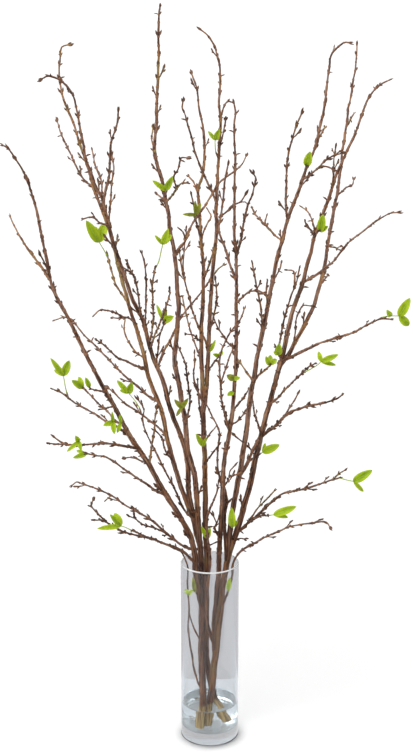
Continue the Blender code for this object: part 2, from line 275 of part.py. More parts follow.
RIGHT_BRANCH = [
    ("trunk", None, [(-0.3, 2.1, -0.2), (0, 5.5, -0.4), (0.4, 9, -0.5), (0.8, 13, -0.5),
     (1.2, 16.5, -0.4), (1.5, 20, -0.2), (1.9, 24, 0), (2.2, 27.5, 0.1), (2.7, 31, 0.2),
     (3.3, 34, 0.2), (3.8, 36.4, 0)], 6.3, 5.0),
    ("tall_right", "trunk", [(3.4, 34.5), (4.3, 37), (5, 39.3), (5.6, 41.5), (6.1, 43.6),
     (6.7, 45.8), (7.2, 48), (7.5, 50), (7.9, 52), (8.4, 54), (8.8, 56), (9.4, 58.5), (10, 61),
     (10.6, 63.5), (11.3, 66.2), (12.1, 69), (12.6, 72), (13.2, 75), (14, 77.9), (14.9, 80.4),
     (15.6, 83.3), (16.3, 86), (16.9, 88.8), (17.7, 91), (18.6, 93.5), (19.4, 96), (20.1, 98.4),
     (21.1, 100.7), (22.1, 103), (23.1, 105.3), (23.8, 107.6), (24.6, 109.8), (25.6, 111.5),
     (26.7, 112.6), (27.8, 113.2, 14)], 5.2, 1.3),
    ("tall_hook", "trunk", [(3, 32.5), (3.2, 36), (3.6, 39.5), (4, 42.5), (4.5, 45), (4.9, 47.5),
     (5.3, 50), (5.7, 53), (6.1, 56), (6.5, 59.5), (6.9, 62.8), (7.4, 65.5), (7.8, 68.5),
     (8.4, 71.6), (9, 74.5), (9.5, 77.5), (10.1, 80.9), (10.8, 84.7), (11.7, 88.1), (12.4, 91.1),
     (13.2, 93.4), (14.2, 96), (15, 98.5), (15.8, 100.6), (16.6, 102.7), (17.1, 105),
     (17.6, 107.3), (18.1, 109.7), (18.3, 112.3), (18.6, 115), (18.8, 117), (19.5, 118),
     (20.8, 119), (21.5, 119, -8)], 4.9, 1.25),
    ("right_upright", "tall_right", [(11.5, 67), (12.9, 68.9), (13.9, 70.9), (14.9, 72.8),
     (16, 75), (16.9, 77.1), (17.4, 78.9), (18, 81), (18.6, 84), (19, 86.7), (19.3, 89.2),
     (19.7, 91.5), (20, 93.7), (20.4, 95.7), (20.6, 97.7), (20.9, 99.9), (21, 102), (21.3, 104.5),
     (21.6, 106.8), (21.8, 109), (22.2, 111.3), (22.4, 113.3), (22.7, 115.2), (22.8, 117),
     (22.8, 118.4, 26)], 3.6, 1.2),
    ("upright_top", "right_upright", [(21.55, 106), (22, 106.9), (22.6, 108.1, 26)], 1.45, 1.2),
    ("upright_hook", "right_upright", [(20.2, 95.2), (21, 95.8), (21.8, 96.5), (22.7, 96.9),
     (22.9, 97.7, 24)], 1.55, 1.2),
    ("upright_inner", "right_upright", [(19, 87), (20.2, 86.8), (21.1, 86.4, 19)], 1.45, 1.2),
    ("upright_low", "right_upright", [(17.8, 80.3), (18.5, 81.4), (19.1, 82.2, 20)], 1.45, 1.2),
    ("reach_right", "tall_right", [(15, 81.2), (16.6, 81.9), (17.7, 82.6), (18.9, 83.7),
     (20.1, 84.7), (21.3, 86.3), (22.5, 87.8), (24, 89), (25.8, 90.4), (27.3, 91.5), (28.8, 92.3),
     (30, 92.5, 0)], 2.15, 1.2),
    ("hook_a", "tall_right", [(16.9, 88.8), (16.2, 89.7), (15.5, 90.2), (15.3, 90.9, 6)], 1.45,
     1.2),
    ("hook_b", "tall_right", [(17, 89.2), (16.6, 90.6), (16.3, 91.5), (15.7, 92.6),
     (14.8, 93.3, 16)], 1.45, 1.2),
    ("upright_thin", "tall_right", [(19.6, 96.6), (19.7, 98.8), (19.7, 101), (19.9, 102.7, 6)],
     1.45, 1.2),
    ("forked_shoot", "tall_right", [(11.7, 67.8), (11.4, 70), (11.7, 72.5), (12.2, 75),
     (12.7, 77.1), (13.2, 78.9), (13.9, 80.6), (14.3, 82), (14.5, 83.2, -3)], 1.75, 1.2),
    ("forked_side", "forked_shoot", [(13.5, 80.2), (13.8, 82), (13.6, 83), (12.8, 83.1, 1)], 1.45,
     1.2),
    ("arched_shoot", "right_upright", [(13.4, 70.2), (14, 72.5), (14.1, 74.8), (14.7, 76.5),
     (15.3, 77.3), (16.3, 77.2, 4)], 1.55, 1.2),
    ("low_reach", "tall_right", [(11.7, 67.8), (13.3, 68.5), (14.6, 69.2), (16.2, 70),
     (17.8, 70.8), (19.5, 71.4), (21.5, 72.1), (23.3, 72.6), (24.9, 73.5), (26.5, 74.4), (28, 75),
     (29.4, 75, -10)], 2.65, 1.25),
    ("low_reach_spur", "low_reach", [(27.3, 74.7), (28.3, 75.3, -9.6)], 1.25, 1.25),
    ("low_leafy", "tall_right", [(9.8, 60.5), (11, 61.3), (12.3, 62.8), (13.5, 64.1), (14.6, 65.2),
     (15.4, 66), (16.2, 66.8), (17.2, 67.4, -6)], 1.85, 1.2),
    ("low_leafy_spur", "low_leafy", [(15, 65.6), (15.8, 66.05, -5.4)], 1.25, 1.25),
    ("level_right", "tall_right", [(8.5, 54.8), (9.7, 55.8), (11.1, 56.8), (12.3, 58.2),
     (13.4, 59.1), (15, 59.7), (16.8, 60.3), (18.3, 60.6), (20, 61), (21.3, 61.5),
     (21.9, 62, -12)], 2.7, 1.2),
    ("level_right_fork", "level_right", [(12.4, 58.3), (13.2, 59.8), (14, 61), (14.5, 62, 0)],
     1.55, 1.2),
    ("dark_cross", "tall_hook", [(5, 47.5), (6.2, 49.9), (7.1, 52.2), (8.1, 54.3),
     (8.9, 56.2, 3.4)], 3.0, 2.0),
    ("fork_upright", "tall_hook", [(12.25, 91.4), (12.2, 93), (12.1, 94.8), (12.2, 96.8),
     (12.2, 98.8), (12.3, 101), (12.7, 103.1), (13.2, 104.9), (13.8, 106.5), (14.4, 108, -18)],
     1.95, 1.2),
    ("hook_side", "tall_hook", [(16.9, 104), (17.6, 105), (18.1, 105.9, -2)], 1.45, 1.2),
    ("hook_right", "tall_hook", [(14.6, 97.7), (16, 98.6), (17.2, 99.6), (18.2, 100.6),
     (19.3, 101.4), (20.8, 101.9, -14)], 1.65, 1.2),
    ("hook_right_low", "hook_right", [(17.2, 99.8), (18.4, 99.9), (19.3, 99.6, -10)], 1.45, 1.2),
    ("hook_left", "tall_hook", [(11.4, 88), (10.4, 88.9), (9.4, 89.9), (8.3, 91.1), (7.3, 92.1),
     (6.8, 93.1, 3)], 1.65, 1.2),
    ("hook_left_up", "hook_left", [(9.2, 90.1), (8.9, 90.9), (9.1, 91.7, 0)], 1.45, 1.2),
    ("hook_low_right", "tall_hook", [(9.9, 80.9), (10.7, 82.1), (11.3, 83.3), (11.5, 84.1, 1)],
     1.45, 1.2),
    ("hook_low_left", "tall_hook", [(9.25, 77), (9.2, 79.3), (9.3, 81.3, -10)], 1.45, 1.2),
    ("hook_shoot", "tall_hook", [(8.7, 73.3), (8.5, 75.3), (8.2, 77.5), (7.8, 79.5), (7.4, 81.3),
     (7.1, 82.6), (6.9, 84.1, -12)], 1.65, 1.2),
    ("hook_cross", "tall_hook", [(7.1, 64.5), (6.4, 65.5), (5.8, 66.4), (5, 67.6), (4.3, 68.7, 1)],
     1.75, 1.2),
    ("hook_leafy", "tall_hook", [(7, 64), (7.9, 65.2), (8.7, 66), (9.7, 66.9, -7)], 1.85, 1.3),
    ("bright_leaf_spur", "tall_right", [(11.8, 68.2), (11.3, 68.8, 3)], 1.25, 1.25),
    ("upright", "trunk", [(1, 14.5), (0.8, 17.5, 0.6), (0.8, 21, 0.7), (1.1, 25, 0.5),
     (1.4, 28.5, 0.3), (1.6, 32, 0), (1.7, 36, -0.4), (1.9, 40), (2.1, 44), (2.2, 47.5), (2.5, 51),
     (3, 54), (3.5, 57), (3.8, 60), (4, 63), (4.3, 67), (4.3, 71), (4.3, 75), (4.3, 79),
     (4.3, 82.5), (4.2, 86), (3.9, 89), (3.9, 93), (3.9, 97), (4, 100), (4, 102.3), (3.8, 104.5),
     (3.8, 106.5), (4, 108.2), (3.8, 109.4, -20)], 4.7, 1.2),
    ("upright_fork", "upright", [(4.15, 85.5), (4.8, 87.5), (5.2, 89.5), (5.6, 91.6), (6, 93.5),
     (6.7, 95.2), (7.1, 97), (7.3, 97.8), (7, 98.5, -26)], 1.95, 1.2),
    ("upright_left", "upright", [(4.3, 81.3), (3.5, 83.4), (2.8, 85.5), (2.2, 87.3), (1.6, 88.9),
     (1.4, 90.4), (1.8, 92.2), (2.1, 94.2), (2.2, 96), (2.4, 97.8), (2.8, 99.8, -11)], 2.05, 1.2),
    ("upright_left_twig", "upright_left", [(1.7, 91.9), (2.6, 92.5), (3.4, 93.2), (4.2, 93.9),
     (4.9, 94.2), (5.5, 95.2, -11)], 1.45, 1.2),
    ("upright_right", "upright", [(4.35, 77.6), (5.2, 78.5), (6, 79.2), (6.8, 79.6), (7.8, 79.7),
     (8.6, 79.4, -16)], 1.65, 1.2),
    ("upright_small", "upright", [(4.35, 73.9), (5, 75), (5.4, 75.9), (5.6, 76.6, -7)], 1.45, 1.2),
    ("thin_loop", "upright", [(3.2, 55.6), (2.9, 57.3), (2.4, 59), (2, 61), (1.8, 63.5), (1.6, 66),
     (1.6, 68), (2, 70), (2.6, 71.4), (3.3, 72.7), (4.2, 73.8, -14)], 1.85, 1.2),
    ("thin_pair", "thin_loop", [(1.8, 63.8), (2.4, 65.8), (2.8, 67.3), (3.2, 68.6),
     (3.7, 69.8, -5)], 1.45, 1.2),
    ("thin_cross", "upright", [(4.2, 69.8), (3.5, 70.5), (2.8, 71.2), (2.2, 72.2), (1.4, 73.3),
     (0.9, 74.5, -13)], 1.45, 1.2),
    ("small_diagonal", "upright", [(3.7, 59.2), (4.8, 60.5), (5.7, 61.7), (6.4, 62.9, -1)], 1.65,
     1.2),
    ("thin_join", "tall_right", [(8.5, 54.9), (8.1, 56.8), (7.5, 58.5), (7.2, 60.4), (7, 62, -1)],
     1.65, 1.2),
    ("up_left", "tall_right", [(7.7, 51.2), (6.9, 52.6), (6.1, 53.4), (5.2, 54.1), (4.3, 54.9, 2)],
     1.55, 1.2),
    ("knot_twig", "upright", [(3.4, 57), (4.4, 57.3), (5.1, 58.1), (5.7, 58.9), (6.3, 59.9, -8)],
     1.45, 1.2),
    ("dark_inner", "upright", [(2.15, 46), (1.6, 48), (1.3, 50), (1.3, 52), (1.5, 54), (1.6, 55.6),
     (1.1, 57), (0.4, 58.3), (-0.1, 59.5), (-0.5, 60.4, -5)], 1.95, 1.2),
    ("low_curl", "upright", [(2.15, 45.6), (2.9, 46.8), (3.4, 47.7), (4, 47.9), (4.9, 48.3, -6)],
     1.45, 1.2),
    ("low_curl_up", "low_curl", [(3.2, 47.5), (3.4, 48.7), (4, 49.5, -4.6)], 1.45, 1.2),
    ("second_upright", "trunk", [(2.9, 32.2), (2.7, 35.5, -0.6), (2.5, 38.5, -1), (2.5, 41, -1.2),
     (2.8, 43.2), (2.5, 45.2), (2.1, 47, -2)], 3.6, 2.4),
    ("knotty_low", "upright", [(1.8, 37.2), (1.2, 37.9), (0.6, 38.4), (1.1, 39.2), (0.9, 40),
     (0.7, 40.6, -1.6)], 1.35, 1.15),
    ("knotty_low_fork", "knotty_low", [(1.1, 39.2), (1.3, 39.8), (1.5, 40.4, -2)], 1.15, 1.15),
    ("front_slant", "trunk", [(1.2, 15.7), (0.4, 17.9, -1.4), (-0.3, 20.5, -2), (-0.6, 23.5, -2.3),
     (-0.5, 27, -2.3), (-0.1, 30.5, -2.3), (0, 33.5, -2.4), (-0.3, 36.5), (-0.6, 39.5),
     (-0.1, 41.6), (0.6, 43.4), (1.2, 45), (1.4, 46.6, -4.6)], 3.2, 1.3),
    ("low_right_long", "tall_right", [(4.5, 37.9), (5.6, 38.5), (6.5, 39.5), (7.7, 40.4),
     (9.4, 42.2), (11, 43.7), (12.4, 44.7), (14, 45.1), (15.7, 45.5), (17.2, 45.9), (18.8, 46.5),
     (20.3, 47.1), (21.8, 47.5, -10)], 2.65, 1.3),
    ("low_right_stub", "low_right_long", [(20.7, 47.3), (21.6, 48.1), (22.6, 48.8, -11)], 1.45,
     1.2),
    ("low_right_thin", "low_right_long", [(6.4, 39.5), (7.5, 41.2), (8.3, 42.4), (9.5, 43.6),
     (10.8, 45.1, 3)], 1.55, 1.2),
    ("low_right_leafy", "low_right_long", [(7.3, 40.2), (8.6, 40.7), (9.8, 40.8, -8)], 1.55, 1.3),
    ("low_right_under", "trunk", [(1.9, 23.6), (2.7, 25.7, -0.6), (3.3, 27.6, -0.8),
     (3.8, 29.6, -0.9), (3.9, 31.3, -1), (4.3, 32.9, -1.2), (5.2, 34.1, -1.8), (6.6, 35.2),
     (8, 36), (9.9, 37), (11.8, 37.9), (13.6, 38.8), (15.2, 39.1), (17.2, 39.4), (19, 39.7),
     (19.9, 39.6), (20.4, 38.9, -12)], 2.05, 1.2),
    ("low_stub", "tall_right", [(3.9, 36), (5.1, 36.6), (5.9, 36.5, -3)], 1.45, 1.2),
    ("round_spur_a", "tall_hook", [(15.1, 98.9), (15.4, 99.7, -8.6)], 1.45, 1.3),
    ("round_spur_b", "tall_right", [(16.9, 88.7), (17.4, 89.4, 7.6)], 1.45, 1.3),
    ("olive_front_spur", "upright", [(4.1, 64.2), (4, 64.6, -9)], 1.25, 1.25),
    ("small_front_spur", "upright", [(4, 62), (3.95, 62.4, -8.6)], 1.25, 1.25),
    ("low_leaf_spur", "tall_right", [(7.7, 51.2), (8.6, 51.9, 1)], 1.25, 1.25),
    ("front_leaf_spur", "tall_hook", [(3.6, 38.2), (3.8, 38.6, -1.6)], 1.25, 1.25),
    ("glass_right_spur", "low_right_under", [(3, 26.4), (3.1, 26.9, -1.6)], 1.25, 1.25),
]

BRANCHES = {
    "left_branch": LEFT_BRANCH,
    "centre_branch": CENTRE_BRANCH,
    "right_branch": RIGHT_BRANCH,
}

# Each sprig: the branch and twig that it grows from, its stalk's further points, and its
# blades. A blade is (base, tip, width, depth at base, depth at tip), in centimetres.
SPRIGS = [
    ("left_branch", "long_stalk", [(-17.2, 86.5, 12), (-17.9, 87.7, 12)],
     [((-18, 87.7), (-19.9, 91.2), 1.7, 12, 10.4), ((-17.8, 87.7), (-16.9, 90.8), 1.7, 12, 13),
      ((-17.9, 87.6), (-18.5, 90.2), 1.0, 12, 15)]),
    ("left_branch", "tallest_spur", [(-7.1, 96.1, -12.6)],
     [((-7.1, 96), (-9.2, 97.6), 0.8, -12.6, -13.6), ((-7.05, 95.9), (-5.9, 98.3), 1.0, -12.6, -14)]),
    ("left_branch", "inner_three", [(-8.3, 84.5, -18.4), (-7.9, 86.2, -18.6), (-7.6, 87.4, -18.6)],
     [((-7.6, 87.4), (-8.9, 88.8), 0.6, -18.6, -19.4), ((-7.6, 87.3), (-6.2, 88.9), 0.9, -18.6, -18),
      ((-7.6, 87.5), (-6.7, 89.9), 1.0, -18.6, -20.2)]),
    ("left_branch", "diagonal_leaf_spur", [(-2.2, 92.1, -10)],
     [((-2.2, 92), (-4.4, 92.2), 0.6, -10, -11), ((-2.2, 92), (-2.4, 94.4), 0.7, -10, -11.4),
      ((-2.2, 92), (-1.5, 94), 0.7, -10, -9.4)]),
    ("left_branch", "leaf_stalk_mid", [(-7.65, 74.7, -3.8)],
     [((-7.6, 74.6), (-5.9, 75.4), 1.2, -3.8, -4.6), ((-7.6, 74.7), (-7.2, 77), 0.9, -3.8, -4.2),
      ((-7.65, 74.7), (-8.7, 77.4), 0.6, -3.8, -2.6)]),
    ("left_branch", "leafy_left_spur", [(-24, 63.6, -4.8), (-24.25, 65.4, -4.8)],
     [((-24.2, 65.3), (-26.3, 68.4), 0.9, -4.8, -6), ((-24.25, 65.3), (-23.2, 68), 1.3, -4.8, -4.2),
      ((-24.25, 65.2), (-25.7, 66.4), 0.7, -4.8, -3)]),
    ("left_branch", "round_leaf_twig", [(-21.05, 63.35, 4.2)],
     [((-21, 63.35), (-22.9, 64.6), 1.2, 4.2, 3.4), ((-21, 63.35), (-21.7, 65.2), 0.9, 4.2, 5.4)]),
    ("left_branch", "side_leaf_twig", [(-19.95, 63.4, -13.2)],
     [((-19.9, 63.4), (-20.6, 65.1), 0.8, -13.2, -13.6)]),
    ("left_branch", "left_reach_spur", [(-12.4, 61, 4.4), (-13.5, 62.4, 4.8)],
     [((-13.4, 62.3), (-12.9, 64.3), 1.2, 4.8, 4), ((-13.5, 62.4), (-15.4, 64.6), 0.9, 4.8, 5.4),
      ((-13.5, 62.3), (-14.9, 62.9), 0.6, 4.8, 6.2)]),
    ("left_branch", "curl_leaf_spur", [(-16.2, 57.4, -7.7)],
     [((-16.2, 57.35), (-17.8, 56.8), 0.9, -7.7, -8.4), ((-16.2, 57.3), (-16.3, 59.2), 0.6, -7.7, -8.8),
      ((-16.15, 57.3), (-16, 55.3), 0.9, -7.7, -9.2)]),
    ("left_branch", "strip_leaf_spur", [(-14.9, 57.2, -9.4)],
     [((-14.9, 57.2), (-15, 58.7), 0.6, -9.4, -10), ((-14.9, 57.2), (-15.5, 55.5), 0.7, -9.4, -10)]),
    ("left_branch", "level_leaf_spur", [(-22, 54, -17.7)],
     [((-22, 54), (-22.5, 55), 0.8, -17.7, -18.4), ((-22, 54), (-21.6, 52.3), 0.7, -17.7, -19),
      ((-22, 54), (-24, 52.2), 0.7, -17.7, -19.2)]),
    ("left_branch", "low_left_shoot", [(-20.7, 51.8, -14.2)],
     [((-20.7, 51.8), (-23, 51.1), 0.8, -14.2, -14.8), ((-20.7, 51.8), (-22.4, 52.4), 0.6, -14.2, -13)]),
    ("left_branch", "olive_spur", [(-4.7, 59.9, -5.6)],
     [((-4.7, 59.9), (-5.9, 61.3), 0.8, -5.6, -6.2), ((-4.7, 59.9), (-3.6, 61.5), 0.8, -5.6, -6.4),
      ((-4.7, 59.9), (-5.6, 58.4), 0.6, -5.6, -6.4)]),
    ("left_branch", "low_left_leafy", [(-14.3, 38.6, -12.6), (-15.2, 38.9, -12.8)],
     [((-15.1, 38.9), (-16.2, 41.2), 1.4, -12.8, -12), ((-15.2, 38.9), (-17, 41), 0.9, -12.8, -14.4),
      ((-15.2, 38.9), (-19.2, 38.4), 0.9, -12.8, -14)]),
    ("left_branch", "glass_leaf_spur", [(-3.6, 26.35, -1.9)],
     [((-3.6, 26.3), (-4.15, 27.3), 0.7, -1.9, -1.4), ((-3.6, 26.3), (-2.9, 27.2), 0.7, -1.9, -2.3)]),
    ("left_branch", "glass_long_spur", [(-2.55, 26.8, -1.5)],
     [((-2.55, 26.8), (-2.85, 29.6), 0.7, -1.5, -2.4)]),
    ("centre_branch", "high_leaf_spur", [(0.8, 103.4, 3.2), (0.8, 104, 3.1)],
     [((0.8, 103.9), (1.5, 105.7), 1.0, 3.1, 2.2), ((0.8, 103.9), (-0.3, 105.4), 0.6, 3.1, 3.4)]),
    ("centre_branch", "leaf_twig", [(1.5, 68.7, 1.9)],
     [((1.5, 68.7), (0.5, 69.1), 0.7, 1.9, 1), ((1.5, 68.7), (2.1, 69.6), 0.7, 1.9, 2.4)]),
    ("centre_branch", "slender_spur", [(0.15, 69.6, 2.8)],
     [((0.15, 69.6), (0.9, 71.5), 0.6, 2.8, 2.4)]),
    ("centre_branch", "mid_leaf_spur", [(-1.15, 53.2, 1.9)],
     [((-1.15, 53.2), (-2.3, 55.3), 0.9, 1.9, 1.4), ((-1.15, 53.2), (-0.6, 54.7), 0.6, 1.9, 1)]),
    ("centre_branch", "rim_leaf_spur", [(-0.45, 36.7, 1)],
     [((-0.45, 36.7), (-1.5, 38.9), 0.8, 1, -0.2), ((-0.45, 36.7), (0.1, 38.6), 0.9, 1, 0),
      ((-0.45, 36.7), (-0.5, 38), 0.7, 1, 1.2)]),
    ("right_branch", "low_reach_spur", [(29.6, 75.5, -9.8), (31, 75.5, -10)],
     [((29.9, 75.5), (28.9, 76.5), 0.9, -9.9, -10.8), ((31, 75.5), (32.7, 78.5), 1.5, -10, -11),
      ((31, 75.5), (32.7, 73.9), 1.3, -10, -9.4)]),
    ("right_branch", "low_leafy_spur", [(16.8, 66.6, -5.4), (17.6, 67.1, -5.4), (18.4, 67.8, -5.6)],
     [((18.4, 67.8), (17.9, 69.5), 0.8, -5.6, -5), ((18.4, 67.8), (21.2, 69), 1.0, -5.6, -6.4),
      ((18.3, 67.7), (20.8, 67.2), 0.7, -5.6, -5.4)]),
    ("right_branch", "hook_leafy", [(9.9, 67.3, -7.2)],
     [((9.9, 67.2), (9.2, 68.7), 0.9, -7.2, -8), ((9.9, 67.2), (11, 68.2), 0.9, -7.2, -6.4),
      ((9.9, 67.2), (10, 68.9), 0.8, -7.2, -5.8)]),
    ("right_branch", "bright_leaf_spur", [(11.25, 69, 2.8)],
     [((11.25, 69), (11.4, 70.9), 1.3, 2.8, 1.8), ((11.25, 69), (10.5, 69.5), 0.7, 2.8, 2.6)]),
    ("right_branch", "round_spur_a", [(15.35, 99.9, -8.8)],
     [((15.35, 99.9), (15.9, 102.2), 1.3, -8.8, -9.4)]),
    ("right_branch", "round_spur_b", [(17.7, 89.4, 7.3)],
     [((17.7, 89.4), (18.2, 92.2), 1.4, 7.3, 6.6), ((17.7, 89.4), (19, 90.3), 0.8, 7.3, 7)]),
    ("right_branch", "olive_front_spur", [(4, 64.8, -9.3)],
     [((4, 64.8), (2.8, 65.5), 1.1, -9.3, -9.8), ((4, 64.8), (5, 65.1), 0.7, -9.3, -9.6)]),
    ("right_branch", "small_front_spur", [(3.9, 62.6, -8.9)],
     [((3.9, 62.6), (2.9, 62), 0.8, -8.9, -9.2)]),
    ("right_branch", "low_leaf_spur", [(8.9, 52.1, 0.8)],
     [((8.9, 52.1), (11.7, 53.4), 1.4, 0.8, 0.2), ((8.9, 52.1), (9.3, 53.7), 0.6, 0.8, 1.6)]),
    ("right_branch", "front_leaf_spur", [(3.8, 38.8, -1.9)],
     [((3.8, 38.8), (3.7, 42.3), 1.3, -1.9, -3.2), ((3.8, 38.8), (4.8, 39.9), 0.7, -1.9, -2.2)]),
    ("right_branch", "low_right_leafy", [(10.9, 40.9, -8.3)],
     [((10.8, 40.9), (14.7, 42.4), 1.3, -8.3, -8.8), ((10.8, 40.9), (13.3, 40.5), 0.7, -8.3, -7)]),
    ("right_branch", "low_right_long", [(23, 47.2, -10.4), (24.3, 46.9, -10.6)],
     [((24.2, 46.9), (27.4, 48.9), 1.4, -10.6, -11.4), ((24.3, 46.9), (26, 45.1), 0.7, -10.6, -9.8)]),
    ("right_branch", "glass_right_spur", [(3.1, 27.1, -1.9)],
     [((3.1, 27.1), (3.4, 29.5), 0.8, -1.9, -2.2)]),
]


def clear_scene():
    for old in list(bpy.data.objects):
        bpy.data.objects.remove(old)


def make_material(name, colour, roughness, transmission=0.0, ior=1.45):
    material = bpy.data.materials.new(name)
    material.use_nodes = True
    shader = material.node_tree.nodes["Principled BSDF"]
    shader.inputs["Base Color"].default_value = (*colour, 1)
    shader.inputs["Metallic"].default_value = 0
    shader.inputs["Roughness"].default_value = roughness
    shader.inputs["Transmission Weight"].default_value = transmission
    shader.inputs["IOR"].default_value = ior
    material.diffuse_color = (*colour, 1)
    return material


def place(mesh_maker, name, material=None):
    """Run mesh_maker on an empty bmesh and link the result as an object."""
    mesh = bpy.data.meshes.new(name)
    bm = bmesh.new()
    mesh_maker(bm)
    bm.to_mesh(mesh)
    bm.free()
    thing = bpy.data.objects.new(name, mesh)
    if material:
        mesh.materials.append(material)
    bpy.context.scene.collection.objects.link(thing)
    return thing


def sight_point(point):
    """Turn (across, up, depth) in centimetres into a place in metres."""
    across, up, depth = point
    on_plane = Vector((across * CM, 0, up * CM))
    reach = (depth * CM - EYE.y) / (0 - EYE.y)
    return EYE + (on_plane - EYE) * reach


def spread_depths(route, first_depth):
    """Give every route point a depth, evenly by distance between the stated ones."""
    known = [point[2] if len(point) == 3 else None for point in route]
    if known[0] is None:
        known[0] = first_depth
    travelled = [0.0]
    for before, after in zip(route, route[1:]):
        travelled.append(travelled[-1] + math.dist(before[:2], after[:2]))
    stated = [index for index, depth in enumerate(known) if depth is not None]
    for start, end in zip(stated, stated[1:]):
        for index in range(start + 1, end):
            share = (travelled[index] - travelled[start]) / (travelled[end] - travelled[start])
            known[index] = known[start] + share * (known[end] - known[start])
    return [Vector((*point[:2], depth)) for point, depth in zip(route, known)]


def curve_through(points, step):
    """Points about a step apart on a smooth curve through the given ones."""
    ends = [points[0] * 2 - points[1], *points, points[-1] * 2 - points[-2]]
    fine = [points[0]]
    for a, b, c, d in zip(ends, ends[1:], ends[2:], ends[3:]):
        parts = max(1, round((c - b).length / step))
        for part in range(1, parts + 1):
            t = part / parts
            fine.append(0.5 * (2 * b + (c - a) * t + (2 * a - 5 * b + 4 * c - d) * t ** 2
                               + (3 * b - a - 3 * c + d) * t ** 3))
    return fine


def thin_out(line, slack):
    """Drop the points that lie within slack of the straight run between kept ones."""
    first, last = line[0], line[-1]
    run = last - first
    farthest, reach = 0, slack
    for index in range(1, len(line) - 1):
        offset = line[index] - first
        share = offset.dot(run) / run.length_squared
        distance = (offset - run * min(1, max(0, share))).length
        if distance > reach:
            farthest, reach = index, distance
    if not farthest:
        return [first, last]
    return thin_out(line[:farthest + 1], slack)[:-1] + thin_out(line[farthest:], slack)


def nearest_on(line, across, up):
    """The point of a run of points that looks nearest to a place in the view."""
    best = None
    for a, b in zip(line, line[1:]):
        flat = Vector((b.x - a.x, b.y - a.y))
        span = flat.length_squared or 1.0
        along = ((across - a.x) * flat.x + (up - a.y) * flat.y) / span
        point = a.lerp(b, min(1, max(0, along)))
        distance = math.hypot(point.x - across, point.y - up)
        if best is None or distance < best[0]:
            best = (distance, point)
    return best[1]


def stem_sides(radius):
    if radius > TRUNK_FROM:
        return TRUNK_SIDES
    return SHOOT_SIDES if radius > TWIG_BELOW else TWIG_SIDES


def shares_along(points):
    """How far along a run of points each one lies, from 0 to 1."""
    travelled = [0.0]
    for before, after in zip(points, points[1:]):
        travelled.append(travelled[-1] + (after - before).length)
    return [distance / travelled[-1] for distance in travelled]


def lay_out(rows):
    """Work out every stem of a branch: its points in view centimetres and its radii."""
    stems = {}
    for name, parent, route, start_radius, tip_radius in rows:
        route = list(route)
        if parent:
            joint = nearest_on(stems[parent]["view"], *route[0][:2])
            route[0] = tuple(joint)
        line = thin_out(curve_through(spread_depths(route, 0), CURVE_STEP), CURVE_SLACK)
        shrink = tip_radius - start_radius
        taper = STOUT_TAPER if start_radius > STOUT_FROM else TWIG_TAPER
        radii = [start_radius + shrink * share ** taper for share in shares_along(line)]
        stems[name] = {"view": line, "radii": radii, "parent": parent}
    return stems


def frames_along(points, level_foot=False):
    """A direction and a sideways vector at each point, without twist."""
    directions = []
    for index in range(len(points)):
        before = points[max(0, index - 1)]
        after = points[min(len(points) - 1, index + 1)]
        directions.append((after - before).normalized())
    side = directions[0].orthogonal().normalized()
    if level_foot:
        directions[0] = Vector((0, 0, 1))
        side = Vector((1, 0, 0))
    frames = []
    for direction in directions:
        side = (side - direction * side.dot(direction)).normalized()
        frames.append((direction, side))
    return frames


def add_tube(bm, points, radii, sides, level_foot=False):
    """Rings of corners along the points, skinned and closed with flat ends."""
    rings = []
    for index, (direction, side) in enumerate(frames_along(points, level_foot)):
        other = direction.cross(side)
        ring = []
        for corner in range(sides):
            angle = 2 * math.pi * corner / sides
            offset = (side * math.cos(angle) + other * math.sin(angle)) * radii[index] * MM
            ring.append(bm.verts.new(points[index] + offset))
        rings.append(ring)
    for low, high in zip(rings, rings[1:]):
        for corner in range(sides):
            after = (corner + 1) % sides
            bm.faces.new((low[corner], low[after], high[after], high[corner]))
    bm.faces.new(list(reversed(rings[0])))
    bm.faces.new(rings[-1])


def add_bud(bm, foot, axis, length):
    """A slim spindle whose root is sunk in the stem."""
    side = axis.orthogonal().normalized()
    other = axis.cross(side)
    root = bm.verts.new(foot)
    tip = bm.verts.new(foot + axis * length * MM)
    ring = []
    for corner in range(BUD_SIDES):
        angle = 2 * math.pi * corner / BUD_SIDES
        offset = (side * math.cos(angle) + other * math.sin(angle)) * BUD_WIDTH / 2 * MM
        ring.append(bm.verts.new(foot + axis * length * BUD_WIDEST * MM + offset))
    for corner in range(BUD_SIDES):
        after = (corner + 1) % BUD_SIDES
        bm.faces.new((root, ring[after], ring[corner]))
        bm.faces.new((tip, ring[corner], ring[after]))


def bud_places(points, radii, rng):
    """Foot, direction and length of the buds: opposite pairs, set out from the tip."""
    places = []
    travelled = 0.0
    wanted = BUD_FROM_TIP * CM
    turn = rng.uniform(0, math.pi)
    spread = math.radians(BUD_SPREAD_DEG)
    frames = frames_along(points)
    for index in range(len(points) - 1, 0, -1):
        tipward, rootward = points[index], points[index - 1]
        span = (tipward - rootward).length
        while travelled + span > wanted:
            share = (wanted - travelled) / span
            foot = tipward.lerp(rootward, share)
            radius = radii[index] + (radii[index - 1] - radii[index]) * share
            wanted += BUD_SPACING * CM * rng.uniform(0.85, 1.2)
            if radius > BUDS_BELOW or foot.z < VASE_HEIGHT:
                continue
            direction, side = frames[index]
            other = direction.cross(side)
            turn += math.pi / 2 + rng.uniform(-0.3, 0.3)
            length = BUD_LENGTH * rng.uniform(0.8, 1.15) + radius
            for half in (0, math.pi):
                out = side * math.cos(turn + half) + other * math.sin(turn + half)
                axis = direction * math.cos(spread) + out * math.sin(spread)
                places.append((foot, axis.normalized(), length))
        travelled += span
    return places


